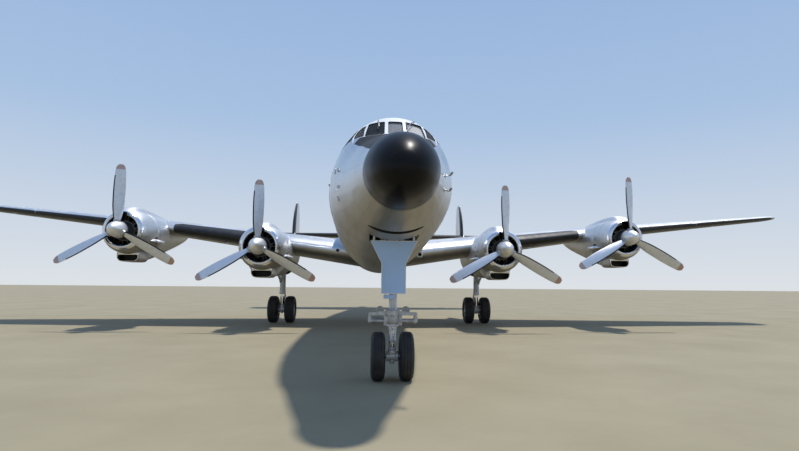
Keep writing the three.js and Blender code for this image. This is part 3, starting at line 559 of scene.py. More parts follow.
class Graph:
    """One material and short names for its nodes."""

    def __init__(self, name):
        self.material = bpy.data.materials.new(name)
        self.material.use_nodes = True
        self.tree = self.material.node_tree
        spot = self.add("TexCoord").outputs
        self.body, self.place, self.normal = spot["Object"], spot["UV"], spot["Normal"]

    def add(self, kind, inputs=None, **settings):
        made = self.tree.nodes.new("ShaderNode" + kind)
        for key, value in settings.items():
            setattr(made, key, value)
        for key, value in (inputs or {}).items():
            self.put(made.inputs[key], value)
        return made

    def put(self, socket, value):
        if isinstance(value, bpy.types.NodeSocket):
            self.tree.links.new(value, socket)
        else:
            socket.default_value = value

    def set(self, **values):
        for key, value in values.items():
            self.put(self.tree.nodes["Principled BSDF"].inputs[key.replace("_", " ")], value)
        return self.material

    def math(self, operation, a, b=0.0):
        return self.add("Math", {0: a, 1: b, 2: 0.0}, operation=operation).outputs[0]

    def times(self, a, b):
        return self.math("MULTIPLY", a, b)

    def plus(self, a, b):
        return self.math("ADD", a, b)

    def less(self, a, b):
        return self.math("LESS_THAN", a, b)

    def rest(self, share):
        return self.math("SUBTRACT", 1.0, share)

    def sine(self, value, length):
        """The sine of a distance, with the length of its wave."""
        return self.math("SINE", self.times(value, 2 * pi / length))

    def near(self, value, middle, reach):
        return self.less(self.math("ABSOLUTE", self.math("SUBTRACT", value, middle)), reach)

    def split(self, vector):
        return self.add("SeparateXYZ", {0: vector}).outputs

    def stretched(self, vector, *scale):
        return self.add("Mapping", {"Vector": vector, "Scale": scale}).outputs[0]

    def noise(self, vector, scale, detail=3.0, rough=0.55):
        inputs = {"Vector": vector, "Scale": scale, "Detail": detail, "Roughness": rough}
        return self.add("TexNoise", inputs).outputs[0]

    def bricks(self, panel, mortar, smooth, **inputs):
        inputs = {key.replace("_", " "): value for key, value in inputs.items()}
        return self.add("TexBrick", {
            "Vector": self.place, "Scale": 1.0, "Mortar Size": mortar, "Mortar Smooth": smooth,
            "Brick Width": panel[0], "Row Height": panel[1], **inputs,
        }).outputs

    def fit(self, value, low, high, to_low=0.0, to_high=1.0):
        return self.add("MapRange", {0: value, 1: low, 2: high, 3: to_low, 4: to_high}).outputs[0]

    def mix(self, share, a, b):
        """A mix of two colours, each a socket or its red, green and blue."""
        a, b = (shade if isinstance(shade, bpy.types.NodeSocket) else (*shade, 1.0) for shade in (a, b))
        return self.add("Mix", {0: share, 6: a, 7: b}, data_type="RGBA").outputs[2]

    def bump(self, height, distance, strength=1.0, under=None):
        inputs = {"Height": height, "Distance": distance, "Strength": strength}
        if under is not None:
            inputs["Normal"] = under
        return self.add("Bump", inputs).outputs[0]


def sheet_metal(graph, panel):
    """Panel seams, rivet rows and the slight quilting of thin sheet: tone, seam share and normal."""
    tone, seam = graph.bricks(
        panel, 0.0035, 0.2, Color1=(0, 0, 0, 1), Color2=(1, 1, 1, 1), Mortar=(0.5, 0.5, 0.5, 1),
    )
    along, up, _ = graph.split(graph.place)
    quilt = graph.times(graph.times(graph.sine(along, panel[0] / 2), graph.sine(up, panel[1])), 0.25)
    normal = graph.bump(graph.plus(quilt, graph.noise(graph.place, 1.1, 2.0)), 0.012, 0.5)
    normal = graph.bump(graph.rest(seam), 0.004, 0.7, normal)
    dots = graph.add("TexVoronoi", {"Vector": graph.place, "Scale": 28.0, "Randomness": 0.0}, feature="F1")
    heads = graph.times(graph.less(dots.outputs["Distance"], 0.14), graph.bricks(panel, 0.03, 0.0)["Fac"])
    return tone, seam, graph.bump(heads, 0.0015, 0.6, normal)


def paint_aluminium(graph, panel, bright, rough):
    """Bare sheet with weathered patches, streaks and darker seams, and an underside darkened to brown as
    painted shade and ground reflection.
    """
    tone, seam, normal = sheet_metal(graph, panel)
    patch = graph.fit(graph.noise(graph.body, 0.9, 5.0, 0.6), 0.3, 0.7)
    streak = graph.noise(graph.stretched(graph.body, 5.0, 0.35, 5.0), 1.0, 4.0, 0.65)
    dull, clean = ([c + bright for c in shade] for shade in ((0.56, 0.57, 0.58), (0.74, 0.745, 0.75)))
    base = graph.mix(graph.fit(tone, 0, 1, 0.25, 0.75), dull, clean)
    base = graph.mix(graph.times(patch, 0.35), base, (0.62, 0.6, 0.56))
    base = graph.mix(graph.fit(streak, 0.56, 0.8, 0.0, 0.35), base, (0.38, 0.37, 0.35))
    base = graph.mix(graph.times(seam, 0.55), base, (0.12, 0.12, 0.12))
    # Painted shade and reflection of the ground: faces that turn downwards are mixed towards dark brown, a
    # little unevenly along the streaks.
    downward = graph.fit(graph.split(graph.normal)[2], -0.75, 0.15, 0.75, 0.0)
    painted_underside_shade = graph.times(downward, graph.fit(streak, 0.2, 0.7, 1.0, 0.75))
    base = graph.mix(painted_underside_shade, base, (0.2, 0.165, 0.11))
    gloss = graph.plus(graph.fit(tone, 0, 1, rough, rough + 0.07), graph.times(patch, 0.1))
    gloss = graph.plus(gloss, graph.times(painted_underside_shade, 0.2))
    graph.set(Base_Color=base, Metallic=1.0, Roughness=gloss, Normal=normal)
    return base, gloss, normal


def aluminium(name, panel=(1.6, 0.62), bright=0.0, rough=0.26):
    graph = Graph(name)
    paint_aluminium(graph, panel, bright, rough)
    return graph.material


# Paint on the fuselage reaches this angle from the crown, in degrees, at each station
WHITE_REACH = [
    (2.98, 14), (3.3, 38), (3.44, 46), (3.8, 55), (4.56, 64), (4.58, 37), (30.0, 40), (33.0, 30), (33.1, 0),
]
BLACK_REACH = [(0.99, 54), (1.5, 50), (2.3, 44), (2.95, 41.5), (3.28, 46), (3.45, 53), (3.46, 0)]


def fuselage_finish():
    """Bare metal with a white roof and cockpit frames and a black panel before the windshield."""
    graph = Graph("fuselage_skin")
    base, gloss, normal = paint_aluminium(graph, (1.9, 0.6), 0.1, 0.22)
    station, around, _ = graph.split(graph.place)
    turn = graph.times(graph.math("ABSOLUTE", around), 180 / pi / CABIN_RADIUS)

    def inside(stops):
        ramp = graph.add("ValToRGB", {0: graph.math("DIVIDE", station, LENGTH)})
        marks = ramp.color_ramp.elements
        while len(marks) < len(stops):
            marks.new(0.5)
        for mark, (at, reach) in zip(marks, stops):
            mark.position = at / LENGTH
            mark.color = (*[reach / 180] * 3, 1.0)
        return graph.less(turn, graph.times(ramp.outputs[0], 180.0))

    above = graph.math("GREATER_THAN", graph.split(graph.body)[2], GLASS_FOOT)
    white = graph.times(above, inside(WHITE_REACH))
    black = graph.times(graph.rest(above), inside(BLACK_REACH))
    grime = graph.noise(graph.body, 3.0, 4.0)
    paint = graph.mix(graph.fit(grime, 0.45, 0.8, 0, 0.3), (0.82, 0.83, 0.84), (0.55, 0.54, 0.5))
    dark = graph.mix(graph.fit(grime, 0.4, 0.8), (0.012, 0.012, 0.012), (0.03, 0.028, 0.026))
    base = graph.mix(white, graph.mix(black, base, dark), paint)
    metal = graph.rest(graph.math("MAXIMUM", white, black))
    rough = graph.plus(graph.times(gloss, metal), graph.times(white, 0.42))
    rough = graph.plus(rough, graph.times(black, 0.6))
    return graph.set(Base_Color=base, Metallic=metal, Roughness=rough, Normal=normal)


def plain(name, base, metallic=0.0, rough=0.5, uneven=0.25, scale=6.0, bump=0.002, dark=None):
    """A painted or cast surface with uneven tone and a fine grain."""
    graph = Graph(name)
    cloud = graph.noise(graph.body, scale, 5.0, 0.6)
    mixed = graph.mix(graph.fit(cloud, 0.35, 0.75, 0, uneven * 2), base, dark or [c * 0.55 for c in base])
    gloss = graph.fit(cloud, 0.3, 0.7, rough - 0.06, rough + 0.1)
    normal = graph.bump(graph.noise(graph.body, scale * 14, 2.0), bump, 0.35)
    return graph.set(Base_Color=mixed, Metallic=metallic, Roughness=gloss, Normal=normal)


def radome_finish():
    graph = Graph("radome_black")
    cloud = graph.noise(graph.body, 2.2, 5.0)
    base = graph.mix(graph.fit(cloud, 0.4, 0.8), (0.004, 0.004, 0.004), (0.012, 0.011, 0.01))
    normal = graph.bump(graph.noise(graph.body, 1.6, 2.0), 0.01, 0.3)
    gloss = graph.fit(cloud, 0.3, 0.75, 0.27, 0.36)
    return graph.set(Base_Color=base, Roughness=gloss, Normal=normal, IOR=1.25)


def blade_finish():
    """Grey painted blade: red-brown tip, black boot on the inner leading edge, dark back."""
    graph = Graph("blade_paint")
    reach, around, _ = graph.split(graph.place)
    wear = graph.noise(graph.body, 7.0, 5.0, 0.65)
    face = graph.mix(graph.fit(wear, 0.45, 0.8, 0, 0.5), (0.66, 0.68, 0.71), (0.42, 0.43, 0.45))
    tip = graph.mix(graph.fit(wear, 0.4, 0.75), (0.46, 0.31, 0.26), (0.5, 0.4, 0.36))
    base = graph.mix(graph.math("GREATER_THAN", reach, 2.13), face, tip)
    base = graph.mix(graph.less(around, 0.47), base, (0.045, 0.045, 0.048))
    boot = graph.times(graph.near(reach, 1.12, 0.78), graph.near(around, 0.5, 0.1))
    base = graph.mix(boot, base, (0.02, 0.02, 0.022))
    scratch = graph.noise(graph.stretched(graph.place, 2.0, 40.0, 1.0), 3.0, 3.0)
    gloss = graph.fit(wear, 0.3, 0.7, 0.32, 0.46)
    return graph.set(Base_Color=base, Metallic=0.8, Roughness=gloss, Normal=graph.bump(scratch, 0.0015, 0.3))


def glass_finish(name, tint, alpha):
    graph = Graph(name)
    normal = graph.bump(graph.noise(graph.body, 4.0, 1.0), 0.002, 0.15)
    return graph.set(Base_Color=(*tint, 1.0), Roughness=0.04, Alpha=alpha, Normal=normal, IOR=1.5)


def rubber_finish(name, base, rough, ribs=None, dusty=0.6):
    graph = Graph(name)
    dust = graph.noise(graph.body, 5.0, 5.0, 0.6)
    mixed = graph.mix(graph.fit(dust, 0.45, 0.85, 0, dusty), base, (0.09, 0.082, 0.07))
    normal = graph.bump(graph.noise(graph.body, 60.0, 2.0), 0.001, 0.3)
    if ribs:
        wave = graph.math("ABSOLUTE", graph.sine(graph.split(graph.place)[1], 2 * ribs))
        normal = graph.bump(wave, 0.006, 0.5, normal)
    gloss = graph.fit(dust, 0.3, 0.7, rough, rough + 0.18)
    return graph.set(Base_Color=mixed, Roughness=gloss, Normal=normal)


SKIN = aluminium("airframe_skin")
WING_SKIN = aluminium("wing_skin", (1.5, 0.7), 0.06, 0.34)
TAIL_SKIN = aluminium("tail_skin", (1.1, 0.5), 0.04, 0.3)
COWL_SKIN = aluminium("cowl_skin", (1.72, 0.92), 0.12, 0.42)
FUSELAGE_SKIN = fuselage_finish()
RADOME_BLACK = radome_finish()
BLADE_PAINT = blade_finish()
SPINNER = plain("spinner_metal", (0.84, 0.83, 0.81), 0.9, 0.5, 0.15, 5.0, 0.001)
BRIGHT = plain("bright_lip", (0.78, 0.78, 0.79), 1.0, 0.2, 0.15, 4.0, 0.001)
BOOT = rubber_finish("de_icer_boot", (0.006, 0.006, 0.007), 0.34, 0.045, 0.25)
TYRE = rubber_finish("tyre_rubber", (0.018, 0.018, 0.018), 0.62)
SEAL = rubber_finish("rubber_seal", (0.02, 0.02, 0.02), 0.5)
# Near black for the insides of hollows, as painted shade: the cockpit behind its panes, the chin slot, the
# cowl's inside, the scoop's duct, the exhaust bores, and the root pipe and inlet
RECESS_SHADE = plain("painted_recess_shade", (0.008, 0.008, 0.009), 0.0, 0.85, 0.2, 6.0)
PRIMER = plain("bay_primer", (0.33, 0.36, 0.27), 0.1, 0.6, 0.35, 3.0)
GLASS = glass_finish("clear_glass", (0.1, 0.115, 0.11), 0.15)
# Cabin panes are opaque and near black: painted shade of the cabin behind the glass
WINDOW = glass_finish("dark_window", (0.02, 0.028, 0.034), 1.0)
LENS = glass_finish("lamp_lens", (0.3, 0.31, 0.28), 0.85)
RED_LENS = glass_finish("red_lens", (0.5, 0.02, 0.015), 1.0)
GREEN_LENS = glass_finish("green_lens", (0.02, 0.35, 0.1), 1.0)
BLIND = plain("pale_blind", (0.9, 0.87, 0.83), 0.0, 0.8, 0.1, 3.0)
GREY_BLIND = plain("grey_blind", (0.34, 0.35, 0.36), 0.0, 0.8, 0.1, 3.0)
LEG_PAINT = plain("leg_paint", (0.68, 0.7, 0.72), 0.3, 0.38, 0.3, 5.0, dark=(0.34, 0.32, 0.28))
CHROME = plain("bright_piston", (0.82, 0.83, 0.84), 1.0, 0.1, 0.05, 8.0, 0.0005)
STEEL = plain("bare_steel", (0.42, 0.42, 0.43), 1.0, 0.35, 0.3, 12.0)
# Blue paint of the plate, which the step beneath it also takes as painted shade
PLATE_BLUE_AND_STEP_SHADE = plain("plate_paint_and_step_shade", (0.38, 0.56, 0.84), 0.05, 0.42, 0.2, 2.5, dark=(0.36, 0.46, 0.62))
HUB = plain("hub_cast", (0.5, 0.51, 0.52), 0.7, 0.45, 0.35, 14.0, dark=(0.16, 0.15, 0.14))
# Engine castings, cylinders and firewall: dark paint, made darker still as painted shade deep inside the cowl
CASTING = plain("engine_casting", (0.1, 0.102, 0.105), 0.6, 0.5, 0.4, 16.0)
CYLINDER = plain("cylinder_fins", (0.04, 0.04, 0.042), 0.5, 0.55, 0.4, 20.0)
HARNESS = plain("ignition_harness", (0.22, 0.2, 0.17), 0.7, 0.5, 0.3, 20.0)
EXHAUST = plain("heat_stained_steel", (0.13, 0.1, 0.085), 0.7, 0.6, 0.5, 9.0, dark=(0.04, 0.036, 0.035))
MESH_DARK = plain("cooler_core", (0.05, 0.05, 0.05), 0.6, 0.6, 0.3, 20.0)
HOSE = rubber_finish("brake_hose", (0.015, 0.015, 0.015), 0.45)
WHITE_PAINT = plain("white_paint", (0.8, 0.81, 0.82), 0.0, 0.4, 0.12, 5.0)


# Fuselage

centre_of, half_of, crown_of = (curve(FUSELAGE, column) for column in (1, 2, 3))


def hull(station, turn, lift=0.0):
    """A point on the fuselage; turn is the angle from the crown, positive to the plane's left."""
    tall = crown_of(station) if cos(turn) > 0 else half_of(station)
    out, up = (half_of(station) + lift) * sin(turn), (tall + lift) * cos(turn)
    return (out, aft(station), centre_of(station) + up)


def hull_loft(stations, lift=0.0, segments=96):
    turns = [a - pi for a in (*angles(segments), 2 * pi)]
    rings = [[hull(s, t, lift) for t in turns[:-1]] for s in stations]
    return loft(rings, stations, [CABIN_RADIUS * t for t in turns])


def hull_layer(stations, lift, under):
    """A layer of the fuselage's side between two lifts, without ends."""
    longer = [stations[0] - 0.1, *stations, stations[-1] + 0.1]
    return carved(hull_loft(stations, lift), hull_loft(longer, under))


def on_windshield(x, height, lift=0.0):
    """The point of the nose's upper front with this distance out and height."""
    low, high = 2.0, 5.0
    for _ in range(40):
        middle = (low + high) / 2
        share = max(0.0, 1 - (x / half_of(middle)) ** 2)
        if centre_of(middle) + crown_of(middle) * sqrt(share) < height:
            low = middle
        else:
            high = middle
    return (x, aft(low) - lift * 0.7, height + lift * 0.7)


def wrapped(station, turn, outline, lift):
    """A loop on the fuselage from an outline of distances aft and round."""
    radius = (half_of(station) + crown_of(station)) / 2
    return [hull(station + a, turn + u / radius, lift) for a, u in outline]


def curved_plate(station, turn, outline, lift):
    """A thin plate that follows the fuselage."""
    loops = [wrapped(station, turn, share * np.array(outline), lift) for share in (1, 0.75, 0.5, 0.25)]
    return loft([wrapped(station, turn, outline, -0.012), *loops])


def curved_frame(station, turn, outline, width, lift):
    """A raised rim round an outline on the fuselage."""
    shape = np.array(outline)
    growth = 1 + width / np.abs(shape).max(axis=0)
    levels = ((growth, -0.01), (growth, lift * 0.6), ((1 + growth) / 2, lift), (1, lift), (1, -0.01))
    loops = [wrapped(station, turn, shape * share, height) for share, height in levels]
    return loft([*loops, loops[0]], ends=(False, False))


def oval(half_long, half_tall, power=2.6, count=28):
    def fuller(half, share):
        return half * copysign(abs(share) ** (2 / power), share)

    return [(fuller(half_long, cos(a)), fuller(half_tall, sin(a))) for a in angles(count)]


def make_fuselage():
    front = {name: slab(rounded(pane, 0.03), aft(2.2), aft(3.9)) for name, pane in FRONT_PANES.items()}
    sides = [
        slab(rounded([(aft(s), z) for s, z in pane], 0.04), side * 0.44, side * 1.5, "x")
        for pane in SIDE_PANES.values() for _, side in SIDES
    ]
    skin = hull_loft([
        *spread(RADOME_BASE, 5.2, 0.06), *spread(5.3, 12.5, 0.3), *spread(12.9, 19.0, 0.6),
        *spread(19.3, 35.0, 0.3), 35.2, 35.33, LENGTH - 0.02, LENGTH,
    ])
    cockpit = spread(1.6, 5.4, 0.1)
    # The pane openings are cut as a cavity down to this inner hull; its walls take the near-black painted
    # shade of the cockpit's inside
    inner = hull_loft(cockpit, -0.2, 72).finished(1)
    for group in (front.values(), sides):
        skin = carved(skin, carved(joined(group).finished(1), inner))
    half = NOSE_BAY["half"]
    bay = block((-half, aft(NOSE_BAY["front"]), 2.0), (half, aft(NOSE_BAY["back"]), NOSE_BAY["roof"]), 0)
    # The chin slot's walls take the near-black painted shade; the nose bay takes primer
    skin = carved(carved(skin, bay.finished(2)), chin_slot().finished(1))
    piece("fuselage_skin", skin, [FUSELAGE_SKIN, RECESS_SHADE, PRIMER], replaces=["fuselage"])
    glass, blinds = (
        carved(hull_loft(cockpit, lift, 72), hull_loft(cockpit, lift - 0.008, 72)) for lift in (-0.012, -0.05)
    )
    panes = joined([carved(glass, prism, "INTERSECT") for prism in (*front.values(), *sides)])
    piece("cockpit_panes", panes, GLASS, replaces=["cockpit_glass"])
    for name, key, finish in (("sun_blind", "left", BLIND), ("centre_blind", "centre", GREY_BLIND)):
        piece(name, carved(blinds, front[key], "INTERSECT"), finish)


def chin_slot():
    """The cutter for the thin cooling slot under the chin."""
    rings = []
    for share in spread(-1, 1, 1 / 16):
        turn = pi + share * radians(33)
        station = 2.4 + 0.1 * share ** 2
        half = 0.112 * sqrt(max(0.02, 1 - share ** 4))
        corners = ((-half, 0.08), (half, 0.08), (half, -0.14), (-half, -0.14))
        rings.append([hull(station + way, turn, lift) for way, lift in corners])
    return loft(rings)


def make_radome():
    share_of = curve(RADOME, 1)
    _, height, radius, _ = FUSELAGE[0]
    rings = []
    for a in np.linspace(0, pi / 2, 37):
        step = 1 - cos(a)
        reach = radius * max(0.004, share_of(step) if step > 0 else 0)
        centre = height - RADOME_TIP_DROP * (1 - step) ** 1.5
        y = aft(step * (RADOME_BASE - 0.003))
        rings.append([(reach * sin(b), y, centre + reach * cos(b)) for b in angles(96)])
    piece("radome_shell", loft(rings), RADOME_BLACK, replaces=["radome"])
    rim = hoop([
        (radius - 0.02, 0.96), (radius - 0.002, 0.985), (radius + 0.003, 1.0), (radius + 0.012, 1.045),
        (radius - 0.02, 1.045),
    ], 96)
    piece("radome_rim", rim.at(0, aft(0), height), SKIN)


def make_nose_fittings():
    for name, top, foot in (("right", (-0.312, 4.69), (-0.296, 4.47)), ("left", (0.36, 4.69), (0.225, 4.48))):
        knee = [(a + b) / 2 for a, b in zip(top, foot)]
        path = ((top, -0.01), (top, 0.02), (knee, 0.045), (foot, 0.03))
        arm = tube(bent([on_windshield(*place, lift) for place, lift in path]), 0.009)
        ends = [on_windshield(foot[0] - 0.022, foot[1] + up, 0.014) for up in (-0.045, 0.15)]
        piece(f"wiper_{name}", zoned([arm], [rod(*ends, 0.011, 8)]), [STEEL, SEAL])
    posts = []
    for _, side in SIDES:
        rings = []
        for share in spread(0.0, 1.0, 0.1):
            station, height = (low + share * (high - low) for low, high in zip(*POST))
            turn = side * acos((height - centre_of(station)) / crown_of(station))
            corners = ((-0.02, -0.03), (-0.02, 0.004), (0.02, 0.004), (0.02, -0.03))
            rings.append([hull(station + way, turn, lift) for way, lift in corners])
        posts.append(loft(rings))
    piece("window_posts", joined(posts), WHITE_PAINT)
    heads = []
    for station, degrees in ((1.89, 84), (1.86, 102)):
        turn = radians(degrees)
        foot, out = (Vector(hull(station, turn, lift)) for lift in (-0.02, 0.07))
        elbow, nose = (out + Vector((0.008, back, 0)) for back in (-0.06, -0.23))
        path = [foot, out, *[out + Vector((x, y, 0)) for x, y in ((0.01, -0.05), (0, -0.17))]]
        heads += [
            tube(bent(path, 6), 0.011, 10),
            bar(elbow, nose, [(0.012, 0), (0.017, 0.1), (0.017, 0.8), (0.009, 1), (0.005, 0.99)], 14),
            curved_plate(station, turn, oval(0.06, 0.035), 0.006),
        ]
    piece("pressure_heads", joined(heads), STEEL)
    plates = [
        curved_plate(station, radians(turn), oval(long, tall, 5), 0.012) for station, turn, long, tall in (
            (3.49, -77.5, 0.09, 0.035), (3.95, -79, 0.05, 0.05), (3.3, -92.6, 0.11, 0.03),
            (3.48, -104.5, 0.035, 0.05),
        )
    ]
    piece("static_plates", joined(plates), STEEL)


def door_panel(station, turn, long, tall, lift):
    """A rounded patch that follows the fuselage's side."""
    layer = hull_layer(spread(station - long - 0.2, station + long + 0.2, 0.15), lift, -0.012)
    middle, side = hull(station, turn)[2], copysign(1, turn)
    corners = [(aft(station + a * long), middle + u * tall) for a, u in ((-1, -1), (1, -1), (1, 1), (-1, 1))]
    return carved(layer, slab(rounded(corners, 0.14, 7), side * 0.5, side * 2.0, "x"), "INTERSECT")


def make_cabin_details():
    places = [(station, side * WINDOW_TURN) for _, side in SIDES for station in WINDOW_STATIONS]
    glass = oval(0.15, 0.2)
    piece("cabin_windows", joined([curved_plate(*p, glass, 0.003) for p in places]), WINDOW)
    piece("cabin_window_rims", joined([curved_frame(*p, glass, 0.035, 0.01) for p in places]), BRIGHT)
    doors, handles, seams = [], [], []
    for station, degrees, long, tall in CABIN_DOORS:
        turn = radians(degrees)
        doors.append(door_panel(station, turn, long, tall, 0.006))
        seams.append(door_panel(station, turn, long + 0.018, tall + 0.018, 0.002))
        grip, half = Vector(hull(station + long * 0.7, turn, 0.03)), Vector((0.02, 0.08, 0.015))
        handles.append(block(grip - half, grip + half))
    piece("cabin_doors", joined(doors), SKIN)
    piece("cabin_door_seams", joined(seams), SEAL)
    piece("cabin_door_handles", joined(handles), STEEL)


def make_aerials():
    x, y, z = hull(14.5, 0.0, -0.01)
    lamp = bar((x, y, z), (x, y, z + 0.16), [(0.08, 0), (0.08, 0.3), (0.072, 0.6), (0.05, 0.85), (0.001, 1)])
    piece("beacon_top", lamp, RED_LENS)
    blades = []
    for station, turn, tall in ((9.2, 0.0, 0.34), (18.2, 0.0, 0.34), (8.2, pi, 0.26), (12.0, pi, 0.26)):
        x, y, z = hull(station, turn, -0.02)
        rings = []
        for share, chord in ((0, 0.34), (0.5, 0.26), (0.95, 0.16), (1, 0.12)):
            back, up, half = y + 0.16 * share, z + cos(turn) * share * tall, 0.02 - 0.01 * share
            rings.append([(x + half * sin(a), back - chord / 2 * cos(a), up) for a in angles(16)])
        blades.append(loft(rings))
    piece("blade_aerials", joined(blades), WHITE_PAINT)
    x, y, z = hull(11.0, 0.0, -0.04)
    dome = [
        [(x + wide * sin(a), y + back, z + tall * max(0.0, cos(a))) for a in angles(24)]
        for back, wide, tall in (
            (-0.5, 0.01, 0.01), (-0.42, 0.09, 0.12), (-0.2, 0.16, 0.22), (0.1, 0.16, 0.23), (0.5, 0.1, 0.14),
            (0.8, 0.01, 0.01),
        )
    ]
    piece("loop_aerial_dome", loft(dome), WHITE_PAINT)


# Wings

wing_columns = [(line(WING, column), curve(WING, column)) for column in (1, 2, 3, 4)]


def wing_row(x):
    """Leading-edge station, its height, chord and thickness ratio at a distance out."""
    return [smooth(x) if x > TIP_START else straight(x) for straight, smooth in wing_columns]


def half_thickness(u, ratio):
    u = max(u, 0.0)
    return 5 * ratio * (0.2969 * sqrt(u) - 0.126 * u - 0.3516 * u ** 2 + 0.2843 * u ** 3 - 0.1015 * u ** 4)


def foil_height(u, ratio, camber, way):
    """The height of an aerofoil's upper or lower side, or middle, over the chord."""
    return 4 * camber * u * (1 - u) + way * half_thickness(u, ratio)


def on_wing(x, u, way=-1):
    """Station and height of the wing's upper or lower side at a share of its chord."""
    edge, height, chord, ratio = wing_row(x)
    return edge + u * chord, height + foil_height(u, ratio, WING_CAMBER, way) * chord


def foil_side(shares, chord, ratio, camber, way):
    return [(u * chord, foil_height(u, ratio, camber, way) * chord) for u in shares]


def foil(chord, ratio, camber=0.0, lift=0.0, reach=1.0, count=26, top=1.0):
    """Aerofoil points from the upper trailing edge round the nose to the lower one."""
    steps = [1 - i / count for i in range(count + 1)]
    shares = [reach * step ** 2 if reach < 1 else (1 - cos(pi * step)) / 2 for step in steps]
    upper = foil_side([top * s for s in shares], chord, ratio, camber, 1)
    ring = np.array(upper + foil_side(shares[-2::-1], chord, ratio, camber, -1))
    if not lift:
        return ring
    ahead, behind = np.roll(ring, -1, axis=0), np.roll(ring, 1, axis=0)
    ahead[-1], behind[0] = ring[-1], ring[0]
    way = ahead - behind
    way /= np.linalg.norm(way, axis=1)[:, None]
    return ring + lift * np.stack([way[:, 1], -way[:, 0]], axis=1)


def strip(chord, ratio, camber, reach, lift, top=1.0):
    """A thin closed band round the nose of an aerofoil, which reaches less far on top."""
    outer = foil(chord, ratio, camber, lift, reach, 12, top)
    inner = foil(chord, ratio, camber, -0.004, reach * 0.94, 12, top)
    return np.concatenate([outer, inner[::-1]])


def flap_foil(chord, ratio, camber, hinge):
    """The part of an aerofoil behind its hinge, with a round nose about the hinge."""
    u = hinge / chord
    centre, radius = foil_height(u, ratio, camber, 0) * chord, half_thickness(u, ratio) * chord
    shares = [1 - (1 - u) * i / 10 for i in range(10)]
    arc = [(hinge - radius * sin(a), centre + radius * cos(a)) for a in np.linspace(0, pi, 15)]
    lower = foil_side(shares[::-1], chord, ratio, camber, -1)
    return np.array([*foil_side(shares, chord, ratio, camber, 1), *arc, *lower])


def flap_room(chord, ratio, hinge, gap):
    front = hinge - half_thickness(hinge / chord, ratio) * chord - gap
    return np.array([(chord + 0.4, 0.7), (front, 0.7), (front, -0.7), (chord + 0.4, -0.7)])


def wing_loft(places, section):
    rings = []
    for x in places:
        edge, height, chord, ratio = wing_row(x)
        rings.append([(x, aft(edge + a), height + up) for a, up in section(x, chord, ratio)])
    return loft(rings, places)


def wing_places(low, high):
    kinks = [row[0] for row in WING if low < row[0] < high]
    return sorted({round(x, 4) for x in [*spread(low, high, 0.6), *kinks]})


def swinging_part(low, high, gap):
    return wing_loft(
        wing_places(low + gap, high - gap), lambda x, c, r: flap_foil(c, r, WING_CAMBER, HINGE_SHARE * c),
    )


def wing_boot(low, high):
    """A rubber boot on the leading edge, narrower at its ends."""
    full, top = (0.09, 0.8) if high < 9 else (0.15, 0.11)

    def section(x, chord, ratio):
        near = max(0.0, min(1.0, (x - low) / 0.12, (high - x) / 0.12))
        return strip(chord, ratio, WING_CAMBER, full * (0.55 + 0.45 * sqrt(near)), 0.005, top)

    return wing_loft(spread(low, high, 0.25), section)


def make_wings():
    tip = [18.1, 18.2, 18.3, 18.4, 18.5, 18.58, 18.65, 18.7, 18.73, WING[-1][0]]
    whole_wing = wing_loft([*wing_places(0.6, TIP_START), *tip], lambda x, c, r: foil(c, r, WING_CAMBER))
    rooms = [
        wing_loft((low, high), lambda x, c, r, gap=gap: flap_room(c, r, HINGE_SHARE * c, gap))
        for low, high, gap in (*[(low, high, FLAP_GAP) for _, low, high in FLAPS], (*AILERON, SWING_GAP))
    ]
    skin = carved(whole_wing, joined(rooms))
    flaps = [(place, swinging_part(low, high, 0.004)) for place, low, high in FLAPS]
    aileron = swinging_part(*AILERON, AILERON_END)
    boots, fillet = joined([wing_boot(low, high) for low, high in WING_BOOTS]), wing_fillet()
    for name, side in SIDES:
        piece(f"wing_skin_{name}", skin.sided(side), WING_SKIN, replaces=[f"wing_{name}"])
        for place, flap in flaps:
            node = f"flap_{name}_{place}"
            piece(f"flap_skin_{name}_{place}", flap.sided(side), WING_SKIN, replaces=[node])
        body = f"aileron_{name}"
        piece(f"aileron_skin_{name}", aileron.sided(side), WING_SKIN, body=body, replaces=[body])
        piece(f"wing_boots_{name}", boots.sided(side), BOOT)
        piece(f"wing_fillet_{name}", fillet.sided(side), WING_SKIN)


def wing_fillet():
    """The concave fairing between the wing root and the fuselage, above and below."""
    parts = []
    size_of = curve(FILLET, 1)
    for way in (1, -1):
        rings = []
        for share in np.linspace(0.01, 0.99, 33):
            station, surface = on_wing(1.75, share, way)
            size, radius = size_of(share), half_of(station)

            def wall(height):
                lean = max(-1.0, min(1.0, (height - centre_of(station)) / radius))
                return radius * sin(acos(lean))

            rise, corner = surface + way * size * 0.55, wall(surface)
            edge, height, chord, ratio = wing_row(corner + size)
            u = min(1.0, max(0.0, (station - edge) / chord))
            foot = height + foil_height(u, ratio, WING_CAMBER, way) * chord - way * 0.004
            spots = np.array(((wall(rise) - 0.01, rise), (corner, surface), (corner + size, foot)))
            bow = [eased(*spots, k / 8) for k in range(9)]
            rings.append([(x, aft(station), z) for x, z in (*bow, (corner - 0.12, surface - way * 0.12))])
        parts.append(loft(rings))
    return joined(parts)


